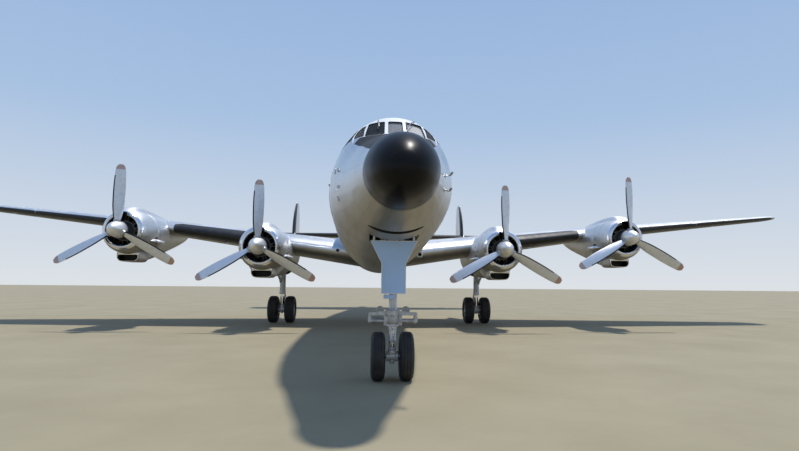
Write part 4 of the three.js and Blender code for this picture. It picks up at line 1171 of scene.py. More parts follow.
def make_root_fittings():
    """A ringed vent pipe under one wing root and a round inlet in the other's leading edge."""
    pipe = hoop([
        (0.075, 0.0), (0.084, -0.014), (0.11, -0.014), (0.121, 0.0), (0.121, 0.06), (0.1, 0.08), (0.1, 0.9),
        (0.075, 0.9),
    ], 28)
    stay = block((-0.012, 0.15, 0.07), (0.012, 0.6, 0.3), 0.004)
    # A near-black disc set inside the pipe is painted shade of its hollow
    pipe_shade_disc = turned([(0.001, 0.12), (0.076, 0.12), (0.076, 0.14), (0.001, 0.14)], 20)
    piece("vent_pipe", zoned([pipe, stay], [pipe_shade_disc]).at(1.46, aft(14.7), 2.86), [WHITE_PAINT, RECESS_SHADE])
    edge, height, _, _ = wing_row(1.77)
    rim = [(0.062, -0.004), (0.068, -0.01), (0.074, -0.01), (0.08, 0.0), (0.08, 0.12), (0.062, 0.12)]
    # A near-black disc set inside the inlet is painted shade of its hollow
    core = turned([(0.001, 0.02), (0.064, 0.02), (0.064, 0.1), (0.001, 0.1)], 20)
    inlet = zoned([hoop(rim, 28)], [core])
    piece("root_inlet", inlet.at(-1.77, aft(edge) - 0.03, height + 0.01), [BRIGHT, RECESS_SHADE])


def make_wing_details():
    lamps, frames, wicks = [], [], {}
    for name, side in SIDES:
        edge, height, _, _ = wing_row(18.45)
        ends = (side * 18.42, aft(edge + 0.12), height), (side * 18.62, aft(edge + 0.26), height + 0.01)
        lamp = bar(*ends, [(0.03, 0), (0.045, 0.2), (0.045, 0.7), (0.02, 1)])
        piece(f"tip_lamp_{name}", lamp, RED_LENS if side > 0 else GREEN_LENS)
        for x in (6.3, 15.2):
            station, under = on_wing(x, 0.12)
            spot = (side * x, aft(station), under)
            ends = ((*spot[:2], under + up) for up in (0.02, -0.012))
            lamps.append(bar(*ends, [(0.001, 0), (0.13, 0), (0.13, 0.8), (0.12, 1), (0.001, 1)], 28))
            rim = hoop([(0.13, 0.01), (0.15, 0.01), (0.15, -0.01), (0.13, -0.014)], 28)
            frames.append(rim.raised().at(*spot))
        for x in (2.1, 3.5, 5.15, 6.9, 8.5):
            edge, _, chord, _ = wing_row(x)
            middle, under = aft(edge + 0.72 * chord), on_wing(x, 0.8)[1] + 0.01
            frames.append(loft([
                [(side * x + wide * sin(a), middle + back, under + tall * cos(a)) for a in angles(14)]
                for back, wide, tall in TRACK_FAIRING
            ]))
        wicks[name] = []
        for x in spread(11.8, 17.8, 0.75):
            edge, height, chord, _ = wing_row(x)
            y = aft(edge + chord) - 0.02
            wicks[name].append(rod((side * x, y, height), (side * x, y + 0.16, height - 0.01), 0.004, 6))
    piece("landing_lamps", joined(lamps), LENS)
    piece("flap_track_fairings", joined(frames), WING_SKIN)
    for name, rods in wicks.items():
        piece(f"static_wicks_{name}", joined(rods), SEAL, body=f"aileron_{name}")


# Engines, each made about its propeller's hub

cowl_radius = line([(distance, radius) for radius, distance in COWL[5:]], 1)
duct_half, duct_top = (curve(DUCT, column) for column in (1, 2))


def humped(shape, surface):
    """Raises the crown of a cowl or nacelle into the carburettor duct."""
    points = shape.points.copy()
    for point in points:
        x, y, z = point
        if z < 0.4 or not DUCT[0][0] <= y <= DUCT[-1][0]:
            continue
        share = max(0.0, 1 - max(0.0, abs(x) / duct_half(y) - 0.62) / 0.5)
        rise = max(0.0, duct_top(y) - surface(y)) * share * share * (3 - 2 * share)
        point[2] += rise * min(1.0, max(0.0, (hypot(x, z) - 0.56) / 0.1))
    return Shape(points, shape.faces, shape.places, shape.zones)


def mirrored_outline(half):
    return half + [(-a, up) for a, up in reversed(half)]


def cowl_shape():
    inner = [(0.81, 1.5), (0.785, 1.48), (0.785, 0.9), (0.76, 0.76), (0.705, 0.62), (0.6, 0.525)]
    segments, lip = 96, 9
    ring = hoop(COWL + inner, segments)
    # Rows of the ring: bright lip, outer skin, then the cowl's inside, which takes the near-black painted
    # shade; the notch at the duct's mouth is lined with it too
    rows = [2] * lip + [0] * (len(COWL) - lip) + [1] * len(inner)
    ring.zones = [zone for zone in rows for _ in range(segments)]
    notch = slab(rounded([(-0.155, 0.45), (0.155, 0.45), (0.15, 0.665), (-0.15, 0.665)], 0.05), 0.2, 0.7)
    ring = carved(humped(ring, cowl_radius), notch.finished(1))
    outline, opening = (np.array(rounded(mirrored_outline(half), 0.09, 6)) for half in (SCOOP, SCOOP_MOUTH))
    rings, zones = [], []
    for share, distance, zone in (
        (1.0, 1.45, 1), (1.0, 1.03, 2), (0.9, 0.977, 2), (0.6, 0.952, 2), (0.3, 0.957, 2), (0.08, 0.99, 0),
        (0.0, 1.05, 0), (0.0, 1.4, 0), (0.0, COWL_BACK, 0),
    ):
        rings.append([(a, distance, up) for a, up in opening * share + outline * (1 - share)])
        zones += [zone] * len(outline)
    scoop = loft(rings, [0, 0.1, 0.2, 0.25, 0.3, 0.35, 0.4, 0.8, 1.2])
    # The duct behind the scoop's mouth and its back wall take the near-black painted shade
    scoop.zones = zones[:len(scoop.faces) - 2] + [1, 0]
    return joined([ring, scoop])


def cowl_flaps():
    """Hinged flaps round the back of the cowl, clear of the duct above and the scoop below."""
    profile = ((0.812, 1.49), (0.819, 1.5), (0.826, 1.79), (0.815, 1.796), (0.805, 1.79))
    flaps = []
    for side in (-1, 1):
        for i in range(7):
            turns = radians(24 + i * 17.4) + np.linspace(0, radians(16.9), 9)
            rings = [[(side * radius * sin(a), y, radius * cos(a)) for a in turns] for radius, y in profile]
            sheet = loft(rings, ring_closed=False)
            inside = sheet.points * np.array((0.985, 1, 0.985))
            flaps += [sheet, Shape(inside, [face[::-1] for face in sheet.faces], sheet.places)]
    band = hoop([
        (0.8, 1.48), (0.806, 1.5), (0.806, 1.78), (0.795, COWL_BACK), (0.785, COWL_BACK), (0.785, 1.48),
    ], 72)
    return joined([*flaps, humped(band, lambda y: COWL[-1][0])])


def finned_cylinder(segments):
    """One cylinder of the engine along +Z, with its head, rocker boxes and pushrod tubes."""
    profile = [(0.095, 0.3), (0.095, 0.335)]
    fins = [(0.08, 0.34 + i * 0.019, 0.102) for i in range(9)]
    fins += [(0.09, 0.52 + i * 0.018, 0.122 - 0.009 * max(0, i - 2)) for i in range(6)]
    for foot, base, wide in fins:
        if base == 0.52:
            profile.append((0.086, 0.515))
        profile += [(foot, base), (wide, base + 0.004), (wide, base + 0.009), (foot, base + 0.013)]
    barrel = turned([*profile, (0.07, 0.64), (0.001, 0.65)], segments).raised()
    boxes, tubes, plugs = [], [], []
    for side in (-1, 1):
        boxes.append(block((side * 0.062 - 0.03, -0.105, 0.6), (side * 0.062 + 0.03, -0.03, 0.672), 0.012))
        tubes.append(rod((side * 0.045, -0.17, 0.31), (side * 0.06, -0.075, 0.6), 0.014, 8))
        plugs.append(rod((side * 0.1, -0.02, 0.585), (side * 0.135, -0.03, 0.6), 0.011, 6))
    return zoned([barrel], boxes, tubes, plugs)


def engine_shape():
    case = hoop([
        (0.0925, 0.8), (0.0925, 0.29), (0.11, 0.283), (0.165, 0.286), (0.19, 0.3), (0.205, 0.36),
        (0.225, 0.4), (0.238, 0.405), (0.24, 0.43), (0.25, 0.47), (0.28, 0.51), (0.31, 0.56),
        (0.325, 0.6), (0.34, 0.605), (0.34, 0.8),
    ], 48)
    drum = turned([(0.3, 0.72), (0.33, 0.74), (0.33, 1.3), (0.3, 1.32)], 48)
    wall = turned([(0.2, 1.5), (0.77, 1.5), (0.775, 1.52), (0.775, 1.6), (0.2, 1.62)], 48)
    front, back = finned_cylinder(20).at(0, 0.84), finned_cylinder(14).at(0, 1.16)
    bolt = rod((0, 0.385, 0.215), (0, 0.41, 0.215), 0.012, 6)
    baffle = slab(rounded([(-0.07, 0.36), (0.07, 0.36), (0.13, 0.66), (-0.13, 0.66)], 0.03), 0.93, 0.945)
    leads = [
        tube(bent([
            (0.0, 0.6, 0.345), (side * 0.03, 0.66, 0.42), (side * 0.1, 0.8, 0.56), (side * 0.11, 0.82, 0.6),
        ]), 0.009, 6) for side in (1, -1)
    ]
    loop = [(0.345 + 0.022 * cos(a), 0.59 + 0.022 * sin(a)) for a in angles(10)]
    cylinders = [part.rolled((i + phase) / 9) for i in range(9) for part, phase in ((front, 0), (back, 0.5))]
    rest = zoned(
        [wall, *[baffle.rolled((i + 0.5) / 9) for i in range(9)]],
        [case, drum],
        [bolt.rolled((i + 0.25) / 9) for i in range(9)],
        [hoop(loop, 48), *[lead.rolled(i / 9) for i in range(9) for lead in leads]],
    )
    return joined([rest, *cylinders])


def exhaust_shape():
    parts = []
    for side in (-1, 1):
        path = bent([
            (side * 0.72, 1.2, -0.3), (side * 0.83, 1.3, -0.315), (side * 0.925, 1.44, -0.325),
            (side * 0.943, 1.715, -0.33),
        ])
        # The bore of each pipe takes the near-black painted shade
        bore = tube([p + Vector((0, 0.004, 0)) for p in path[-5:]], 0.052, 20)
        pipe = carved(tube(path, 0.062, 20), bore.finished(1))
        hood = loft([
            [
                (side * (0.7 + (out - 0.7) * cos(a) ** 0.8), distance, -0.32 + tall * sin(a))
                for a in [pi * (k / 14 - 0.5) for k in range(15)]
            ]
            for distance, out, tall in EXHAUST_HOOD
        ])
        soot = []
        for share in (1.0, 0.75, 0.5, 0.25, 0.02):
            radius = COWL[-1][0] + (0.006 if share < 1 else -0.01)
            spots = [(1.42 + share * back, share * up / 0.9 - 0.36) for back, up in oval(0.19, 0.2, 2.4, 24)]
            soot.append([(side * radius * cos(a), distance, radius * sin(a)) for distance, a in spots])
        parts += [pipe, hood.finished(2), loft(soot).finished(3)]
    return joined(parts)


def blade_shape():
    chord_of, thick_of, pitch_of = (curve(BLADE, column) for column in (1, 2, 3))
    distances = [*spread(BLADE[0][0], 2.2, 0.06), 2.23, 2.26, 2.28, 2.295, 2.304, 2.31]
    sides = 28
    rings = []
    for distance in distances:
        pitch = radians(pitch_of(distance))
        flat = min(1.0, max(0.0, (distance - 0.35) / 0.4))
        ring = []
        for a in angles(sides):
            wide = chord_of(distance) / 2 * cos(a)
            rise = sin(a) * (1 - 0.35 * flat * max(0.0, cos(a)))
            up = thick_of(distance) * rise * (0.5 - copysign(0.18 * flat, rise))
            ring.append((wide * cos(pitch) - up * sin(pitch), wide * sin(pitch) + up * cos(pitch), distance))
        rings.append(ring)
    return loft(rings, distances, [k / sides for k in range(sides + 1)])


def propeller_shape():
    turns = [pi / 2 * i / 20 for i in range(21)]
    dome = [(max(0.001, 0.286 * sin(a)), 0.1 - 0.58 * cos(a) ** 1.06) for a in turns]
    spinner = turned([
        *dome, (0.287, 0.15), (0.287, 0.178), (0.285, 0.18), (0.12, 0.19), (0.09, 0.2), (0.09, 0.79),
        (0.001, 0.79),
    ], 64)
    backplate = hoop([(0.3, 0.15), (0.306, 0.152), (0.306, 0.172), (0.3, 0.175), (0.28, 0.165)], 64)
    collar = turned([
        (0.1, 0.24), (0.118, 0.26), (0.118, 0.318), (0.112, 0.33), (0.09, 0.334), (0.088, 0.24),
    ], 28).raised()
    blades, collars = ([part.rolled(i / BLADES) for i in range(BLADES)] for part in (blade_shape(), collar))
    return zoned(blades, [spinner], [backplate, *collars])


def nacelle_shape(sections, grow=0.0):
    lift, half, above, below = (curve(sections, column) for column in (2, 1, 3, 4))
    first, last_but_one, last = (sections[i][0] for i in (0, -2, -1))
    distances = [*spread(first + SEAT_GAP, last_but_one, 0.15), *spread(last_but_one + 0.1, last, 0.1)]
    rings = []
    for distance in distances:
        ring = []
        for a in angles(72):
            a -= pi
            tall = (above(distance) if cos(a) > 0 else below(distance)) + grow
            ring.append(((half(distance) + grow) * sin(a), distance, lift(distance) + tall * cos(a)))
        rings.append(ring)
    shape = loft(rings, distances, [0.8 * a for a in (*angles(72), 2 * pi)])
    return humped(shape, lambda y: above(y) + lift(y))


def make_engines():
    cowl = dressed("cowl_skin", cowl_shape(), [COWL_SKIN, RECESS_SHADE, BRIGHT])
    flaps = dressed("cowl_flaps", cowl_flaps(), COWL_SKIN)
    engine = dressed("engine_block", engine_shape(), [CYLINDER, CASTING, STEEL, HARNESS])
    exhaust = dressed("exhausts", exhaust_shape(), [SPINNER, RECESS_SHADE, COWL_SKIN, EXHAUST])
    core = dressed("oil_cooler_core", slab(mirrored_outline(SCOOP_MOUTH), 1.4, 1.44), MESH_DARK)
    propeller = dressed("propeller", propeller_shape(), [BLADE_PAINT, SPINNER, STEEL])
    for name, x, station, height, sections in ENGINES:
        at = (x, aft(station), height)
        body = f"propeller_{name}"
        placed(f"cowl_skin_{name}", cowl, replaces=[f"cowl_{name}"], at=at)
        placed(f"cowl_flaps_{name}", flaps, at=at)
        placed(f"engine_block_{name}", engine, replaces=[f"engine_{name}"], at=at)
        placed(f"exhausts_{name}", exhaust, at=at)
        placed(f"oil_cooler_core_{name}", core, at=at)
        placed(f"propeller_skin_{name}", propeller, body, [body], at)
        nacelle = nacelle_shape(sections).at(*at)
        if sections is INNER_NACELLE:
            middle, half, back = copysign(MAIN["x"], x), BAY["half"], aft(BAY["back"])
            for front, foot in (("front", BAY["floor"]), ("mouth", 1.5)):
                room = block((middle - half, aft(BAY[front]), foot), (middle + half, back, BAY["roof"]), 0)
                nacelle = carved(nacelle, room.finished(1))
        piece(f"nacelle_skin_{name}", nacelle, [COWL_SKIN, PRIMER], replaces=[f"nacelle_{name}"])


# Landing gear, each leg made about its axle's station

def tyre_shape(gear, radius, grooves):
    rim, half = gear["rim"] + 0.001, gear["width"] / 2
    side = [
        (0.0, 0.62), (0.06, 0.74), (0.16, 0.86), (0.3, 0.96), (0.44, 1.0), (0.46, 1.012), (0.48, 1.0),
        (0.62, 0.975), (0.76, 0.91), (0.86, 0.82), (0.93, 0.71), (0.972, 0.6),
    ]
    groove = ((1.0, 0.035), (0.955, 0.02), (0.955, -0.02), (1.0, -0.035))
    tread = [(up, middle + out) for middle in np.linspace(0.42, -0.42, grooves) for up, out in groove]
    outline = [*side, (1.0, 0.5), *tread, (1.0, -0.5), *[(up, -out) for up, out in reversed(side)]]
    return hoop([(rim + (radius - rim) * up, half * out) for up, out in outline], 96, "x")


def wheel_shape(gear, holes):
    """The wheel for one tyre with its open side out, about the axle along X."""
    rim, half = gear["rim"], gear["width"] / 2
    outer = [
        (-0.015, -0.62), (0.004, -0.62), (0.004, 0.62), (0.016, 0.64), (0.018, 0.7), (0.006, 0.73),
        (-0.012, 0.7), (-0.02, 0.6), (-0.026, 0.3),
    ]
    inner = [(0.62, 0.2), (0.56, 0.34), (0.45, 0.42), (0.3, 0.42), (0.3, -0.1), (0.6, -0.1)]
    disc = hoop([
        *[(rim + up, half * out) for up, out in outer], *[(rim * up, half * out) for up, out in inner],
        (rim - 0.03, 0.05 * half), (rim - 0.03, -0.6 * half),
    ], 64, "x")

    def ring_of_rods(reach, low, high, radius, segments, phase=0.5, bevel=None):
        rods = []
        for a in angles(holes):
            a += 2 * pi * phase / holes
            y, z = rim * reach * sin(a), rim * reach * cos(a)
            rods.append(rod((low * half, y, z), (high * half, y, z), rim * radius, segments, bevel))
        return rods

    disc = carved(disc, joined(ring_of_rods(0.74, -1, 1, 0.11, 16, 0, 0.0001)))
    bolts = [*ring_of_rods(0.86, 0.2, 0.34, 0.035, 6), *ring_of_rods(0.38, 0.4, 0.49, 0.035, 6)]
    hub = [(0.001, 0), (1, 0), (1, 0.5), (0.95, 0.62), (0.7, 0.7), (0.3, 0.74), (0.001, 0.75)]
    cap = turned([(max(0.001, rim * 0.27 * up), half * out) for up, out in hub], 32, "x")
    return zoned([disc, cap], bolts)


def hubs_shape(gear, holes):
    wheel, twin = wheel_shape(gear, holes).at(gear["twin"]), gear["twin"]
    axle = rod((-twin, 0, 0), (twin, 0, 0), gear["axle"], 32).finished(1)
    return joined([wheel, wheel.sided(-1), axle])


def link(start, knee, spacing, thick):
    """A forked torque link: two arms that meet at a knee, with a web between them."""
    start, knee = Vector(start), Vector(knee)
    profile = [(1.5, 0), (1.5, 0.06), (1, 0.12), (0.85, 0.88), (1.4, 0.94), (1.4, 1)]
    parts = []
    for side in (-spacing, spacing):
        ends = start + Vector((side, 0, 0)), knee + Vector((side * 0.62, 0, 0))
        parts.append(bar(*ends, [(thick * radius, share) for radius, share in profile], 10))
    pins = ((0.3, 1, 0.6, 8), (0.72, 1, 0.6, 8), (0, 1.35, 0.9, 12), (1, 1, 0.9, 12))
    for t, reach, radius, segments in pins:
        parts.append(across(0, spacing * reach, *start.lerp(knee, t).yz, thick * radius, segments))
    return joined(parts)


def main_leg_shape():
    axle, half, brace = MAIN_AXLE, BAY["half"], BAY["front"] + 0.08 - MAIN["station"]
    paint = [
        bar((0, -0.09, BAY["roof"] - 0.02), (0, -0.01, 1.23), [
            (0.11, 0), (0.125, 0.01), (0.125, 0.3), (0.137, 0.31), (0.137, 0.35), (0.125, 0.36),
            (0.125, 0.91), (0.136, 0.92), (0.136, 0.985), (0.126, 1), (0.08, 1),
        ], 40),
        bar((-0.125, 0, axle), (0.125, 0, axle), [
            (0.09, 0), (0.13, 0.02), (0.13, 0.1), (0.118, 0.14), (0.118, 0.86), (0.13, 0.9),
            (0.13, 0.98), (0.09, 1),
        ], 36),
        bar((0, 0, axle + 0.02), (0, 0, axle + 0.2), [(0.12, 0), (0.11, 0.6), (0.1, 0.95), (0.09, 1)], 32),
        bar((0, 0, axle), (0, 0, 0.4), [
            (0.075, 0), (0.075, 0.6), (0.055, 0.75), (0.055, 0.9), (0.04, 1),
        ], 24),
        across(0, half, -0.09, 2.7, 0.07, 28),
        across(0, half, brace, 2.64, 0.05, 24),
        link((0, 0.12, 1.32), (0, 0.34, 1.01), 0.08, 0.026),
        link((0, 0.12, 0.7), (0, 0.34, 1.01), 0.08, 0.026),
        block((-0.1, 0, 1.28), (0.1, 0.16, 1.36), 0.02),
        block((-0.1, 0, 0.66), (0.1, 0.16, 0.74), 0.02),
    ]
    for dx in (-0.07, 0.07):
        paint.append(bar((dx, -0.11, 1.75), (dx * 3.6, brace, 2.64), [
            (0.065, 0), (0.065, 0.05), (0.04, 0.08), (0.048, 0.14), (0.048, 0.86), (0.04, 0.92), (0.07, 0.95),
            (0.07, 1),
        ]))
    brakes, hoses = [], []
    for way in (-1, 1):
        brakes.append(bar((way * 0.128, 0, axle), (way * 0.215, 0, axle), [
            (0.1, 0), (0.19, 0.02), (0.19, 0.2), (0.2, 0.25), (0.2, 0.45), (0.19, 0.5), (0.19, 0.9), (0.1, 1),
        ], 40))
        for a in angles(6):
            a += pi / 6
            brakes.append(across(way * 0.128, way * 0.006, 0.15 * sin(a), axle + 0.15 * cos(a), 0.022, 10))
        hoses.append(tube(bent([
            (way * 0.06, 0.1, 1.8), (way * 0.06, 0.15, 1.42), (way * 0.1, 0.3, 1.08), (way * 0.11, 0.2, 0.8),
            (way * 0.15, 0.08, 0.64),
        ], 8), 0.01))
    return zoned(paint, [rod((0, -0.01, 1.25), (0, 0, axle + 0.05), 0.085, 40)], brakes, hoses)


def main_door_shape(name, low, high):
    """One of the closed doors behind the leg, flush with the nacelle."""
    x, station, height, sections = next(engine[1:] for engine in ENGINES if engine[0] == f"{name}_inner")
    layers = (0, -BAY_DOOR["thick"])
    outer, inner = (nacelle_shape(sections, grow).at(x, aft(station), height) for grow in layers)
    opening = block((low, aft(BAY_DOOR["front"]), 1.5), (high, aft(BAY["back"]) - 0.003, BAY_DOOR["top"]), 0)
    return carved(carved(outer, opening, "INTERSECT"), inner)


def make_main_gear():
    hubs = dressed("main_hubs", hubs_shape(MAIN, 8), [HUB, STEEL])
    tyre = dressed("main_tyre", tyre_shape(MAIN, MAIN["tyre"] - 0.0045, 5), TYRE, 30)
    for name, side in SIDES:
        x, y, wheels = side * MAIN["x"], aft(MAIN["station"]), f"main_wheels_{name}"
        leg, finishes = main_leg_shape().at(x, y), [LEG_PAINT, CHROME, STEEL, HOSE]
        piece(f"main_strut_{name}", leg, finishes, replaces=[f"main_leg_{name}"])
        placed(f"main_wheel_discs_{name}", hubs, wheels, [f"main_hubs_{name}"], (x, y, MAIN_AXLE))
        for place, way in (("inner", -side), ("outer", side)):
            spot, end = (x + way * MAIN["twin"], y, MAIN_AXLE), f"{name}_{place}"
            placed(f"main_rubber_{end}", tyre, wheels, [f"main_tyre_{end}"], spot)
            edges = sorted(x + way * edge for edge in (BAY_DOOR["gap"], BAY["half"] - 0.003))
            door = main_door_shape(name, *edges)
            piece(f"main_bay_door_{end}", door, COWL_SKIN, replaces=[f"main_door_{end}"])


def nose_leg_shape():
    half, brace = NOSE_BAY["half"], (NOSE_BRACE[0] - NOSE["station"], NOSE_BRACE[1])
    cable = [(-0.075, -0.1, 1.9), (-0.068, -0.1, 1.5), (-0.056, -0.08, 1.3), (-0.06, -0.12, 1.18)]
    paint = [
        bar((0, 0, NOSE_BAY["roof"] - 0.02), (0, 0, 1.0), [
            (0.07, 0), (0.085, 0.01), (0.085, 0.34), (0.1, 0.35), (0.1, 0.38), (0.085, 0.39), (0.085, 0.74),
            (0.066, 0.76), (0.066, 0.89), (0.09, 0.9), (0.09, 0.95), (0.108, 0.96), (0.108, 0.995), (0.07, 1),
        ], 36),
        block((-0.075, -0.1, 1.6), (0.075, 0, 2.3), 0.02),
        across(0, half, 0, 2.8, 0.055, 24),
        across(0, half, *brace, 0.04, 20),
        tube(bent(cable, 6), 0.009),
    ]
    beam = [
        (-0.425, 1.135), (0.425, 1.135), (0.425, 1.183), (0.3, 1.195), (0.1, 1.217), (-0.1, 1.217),
        (-0.3, 1.195), (-0.425, 1.183),
    ]
    steering = [
        slab(rounded(beam, 0.02, 3), -0.19, -0.11, "y", 0.006),
        block((-0.11, -0.17, 1.005), (0.11, 0.06, 1.19), 0.025),
        bar((0, 0, 1.25), (0, 0, 1.002), [
            (0.09, 0), (0.125, 0.05), (0.125, 0.3), (0.115, 0.35), (0.115, 0.9), (0.09, 1),
        ], 32),
    ]
    lenses = []
    for side in (-1, 1):
        lamp = side * LAMP_OUT
        paint.append(bar((side * 0.06, 0.04, 1.9), (side * 0.25, *brace), [
            (0.05, 0), (0.05, 0.03), (0.03, 0.05), (0.036, 0.1), (0.036, 0.9), (0.03, 0.95),
            (0.05, 0.97), (0.05, 1),
        ], 16))
        steering += [
            tube(bent([
                (side * 0.3, -0.13, 1.165), (side * 0.385, -0.13, 1.145), (side * 0.418, -0.13, 1.07),
                (side * 0.405, -0.13, 1.01),
            ], 6), 0.022, 12),
            block((side * 0.13 - 0.03, -0.19, 0.96), (side * 0.13 + 0.03, -0.12, 1.155), 0.01),
            bar((side * 0.12, -0.15, 1.04), (side * 0.4, -0.15, 1.04), [
                (0.03, 0), (0.044, 0.02), (0.044, 0.1), (0.037, 0.12), (0.037, 0.82), (0.046, 0.85),
                (0.046, 0.98), (0.03, 1),
            ], 24),
            bar((side * 0.395, -0.15, 1.165), (side * 0.395, -0.15, 1.005), [
                (0.02, 0), (0.032, 0.06), (0.032, 0.9), (0.02, 1),
            ]),
            rod((side * 0.06, -0.15, 1.04), (side * 0.13, -0.15, 1.04), 0.024),
            bar((lamp, -0.1, 1.225), (lamp, -0.165, 1.225), [
                (0.02, 0), (0.05, 0.1), (0.068, 0.5), (0.072, 0.8), (0.072, 1), (0.064, 1), (0.059, 0.9),
            ], 28),
            rod((lamp, -0.13, 1.2), (lamp, -0.13, 1.16), 0.02, 10),
        ]
        lens = [(0.065, 0), (0.065, 0.3), (0.048, 0.8), (0.001, 1)]
        lenses.append(bar((lamp, -0.158, 1.225), (lamp, -0.172, 1.225), lens, 28))
    return zoned(paint, steering, lenses)


def nose_fork_shape():
    axle = NOSE_AXLE
    paint = [
        bar((0, 0, 0.93), (0, 0, 0.99), [(0.08, 0), (0.106, 0.1), (0.106, 0.9), (0.08, 1)], 32),
        bar((-0.108, 0, axle), (0.108, 0, axle), [
            (0.06, 0), (0.088, 0.04), (0.088, 0.2), (0.08, 0.25), (0.08, 0.75), (0.088, 0.8),
            (0.088, 0.96), (0.06, 1),
        ], 32),
        bar((0, 0, axle), (0, 0, axle + 0.16), [(0.08, 0), (0.075, 0.6), (0.066, 0.95), (0.06, 1)], 28),
        bar((0, 0, axle), (0, 0, 0.29), [(0.05, 0), (0.05, 0.7), (0.035, 1)]),
        link((0, -0.1, 0.96), (0, -0.26, 0.72), 0.055, 0.018),
        link((0, -0.09, 0.5), (0, -0.26, 0.72), 0.055, 0.018),
        block((-0.06, -0.12, 0.935), (0.06, 0, 0.985), 0.012),
        block((-0.06, -0.11, 0.475), (0.06, 0, 0.525), 0.012),
    ]
    return zoned(paint, [rod((0, 0, axle + 0.04), (0, 0, 1.44), 0.059, 32)])


def nose_plate_shape():
    """The plate in front of the leg, with a lighter rim, its stays and the step beneath it."""
    front, back = PLATE_FRONT - NOSE["station"], PLATE_BACK - NOSE["station"]
    outline = rounded(mirrored_outline([(x, z) for z, x in NOSE_PLATE]), 0.008, 3)
    board = slab(outline, front, back, "y", 0.003)
    (foot, _), (waist, _), (top, _) = NOSE_PLATE
    wide_of = line(NOSE_PLATE, 1)
    low, high = foot + 0.006, top - 0.006

    def edge(side, z):
        return (side * (wide_of(z) - 0.006), front - 0.003, z)

    trim = [rod(edge(-1, z), edge(1, z), 0.006, 8) for z in (low, high)]
    for start, end in ((low, waist), (waist, high)):
        trim += [rod(edge(side, start), edge(side, end), 0.006, 8) for side in (-1, 1)]
    for side in (-1, 1):
        hanger = ((0.385, -0.03), (0.35, -0.03), (0.33, 0.02), (0.345, 0.12), (0.365, 0.12), (0.37, 0.03))
        stay = ((0.35, 0.015, 0.1), (0.36, 0.1, 0.16), (0.38, 0.2, 0.3))
        lug = ((-1, -0.003, -0.09), (1, 0.03, 0.06))
        trim += [
            slab([(side * x, top + up) for x, up in hanger], back - 0.002, back + 0.03, "y", 0.004),
            block(*[(side * 0.16 + way * 0.012, back + y, top + up) for way, y, up in lug], 0.004),
            tube(bent([(side * x, back + y, top + z) for x, y, z in stay]), 0.016, 10),
        ]
    trim += [block((-0.06, back - 0.005, z), (0.06, -0.1, z + 0.06), 0.008) for z in (1.66, 2.15)]
    trim.append(rod((0.056, back + 0.06, 1.52), (0.056, back + 0.13, 1.22), 0.015, 12))
    # The step takes the plate's blue as painted shade
    step = [
        block((-0.17, back - 0.01, 1.425), (0.03, back + 0.08, 1.49), 0.008),
        *[block((x - 0.01, back, 1.48), (x + 0.01, back + 0.03, 1.56), 0.004) for x in (-0.14, 0)],
    ]
    return zoned([board, *step], trim)


def make_nose_gear():
    y = aft(NOSE["station"])
    for name, shape, materials, slot, body, node in (
        ("nose_strut", nose_leg_shape(), [LEG_PAINT, HUB, LENS], "gear_leg", "airframe", "nose_leg"),
        ("nose_fork_skin", nose_fork_shape(), [LEG_PAINT, CHROME], "gear_leg", "nose_fork", "nose_steering"),
        ("nose_plate", nose_plate_shape(), [PLATE_BLUE_AND_STEP_SHADE, WHITE_PAINT], "leg_door", "airframe", "nose_leg_door"),
    ):
        piece(name, shape.at(0, y), materials, body, [node])
    hubs = dressed("nose_hubs", hubs_shape(NOSE, 6), [HUB, STEEL])
    placed("nose_wheel_discs", hubs, "nose_wheels", ["nose_hubs"], (0, y, NOSE_AXLE))
    tyre = dressed("nose_tyre", tyre_shape(NOSE, NOSE["tyre"] - 0.0035, 3), TYRE, 30)
    layer = hull_layer(spread(4.0, 5.8, 0.1), 0, -0.022)
    for name, side in SIDES:
        spot = (side * NOSE["twin"], y, NOSE_AXLE)
        placed(f"nose_rubber_{name}", tyre, "nose_wheels", [f"nose_tyre_{name}"], spot)
        low, high = sorted(side * edge for edge in (0.004, NOSE_BAY["half"] - 0.003))
        room = block((low, aft(NOSE_DOOR_FRONT), 2.0), (high, aft(NOSE_BAY["back"]) - 0.003, 2.9), 0)
        door = carved(layer, room, "INTERSECT")
        piece(f"nose_bay_door_{name}", door, SKIN, replaces=[f"nose_door_{name}"])


# Tail

def rounding(place, low, high, reach=0.06):
    """Share of the full thickness near the rounded ends of a surface."""
    near = min(reach if low is None else place - low, high - place, reach)
    return sqrt(max(0.0004, 1 - (1 - near / reach) ** 2))


def tailplane_loft(places, section):
    height_of, ratio_of = line(TAILPLANE, 2), line(TAILPLANE, 4)
    rings = []
    for x in places:
        edge, back = ((curve if x > OUTER_FIN_X else line)(TAILPLANE, column)(x) for column in (1, 3))
        ratio = ratio_of(x) * rounding(x, None, TAILPLANE[-1][0])
        points = section(back - edge, ratio, HINGE_STATION - edge)
        rings.append([(x, aft(edge + a), height_of(x) + up) for a, up in points])
    return loft(rings, places)


def fin_loft(table, x, heights, section):
    edge_of, back_of = curve(table, 1), curve(table, 2)
    rings = []
    for z in heights:
        edge = edge_of(z)
        ratio = FIN_RATIO * rounding(z, table[0][0] if table is OUTER_FIN else None, table[-1][0])
        points = section(back_of(z) - edge, ratio, HINGE_STATION - edge)
        rings.append([(x + wide, aft(edge + a), z) for a, wide in points])
    return loft(rings, heights)


# Sections of a tail surface, from its chord, thickness ratio and hinge

def whole(chord, ratio, hinge):
    return foil(chord, ratio)


def room(chord, ratio, hinge):
    return flap_room(chord, max(ratio, 0.05), hinge, SWING_GAP)


def swinging(chord, ratio, hinge):
    return flap_foil(chord, ratio, 0.0, hinge)


def nose_band(chord, ratio, hinge):
    return strip(chord, ratio, 0.0, 0.11, 0.004)


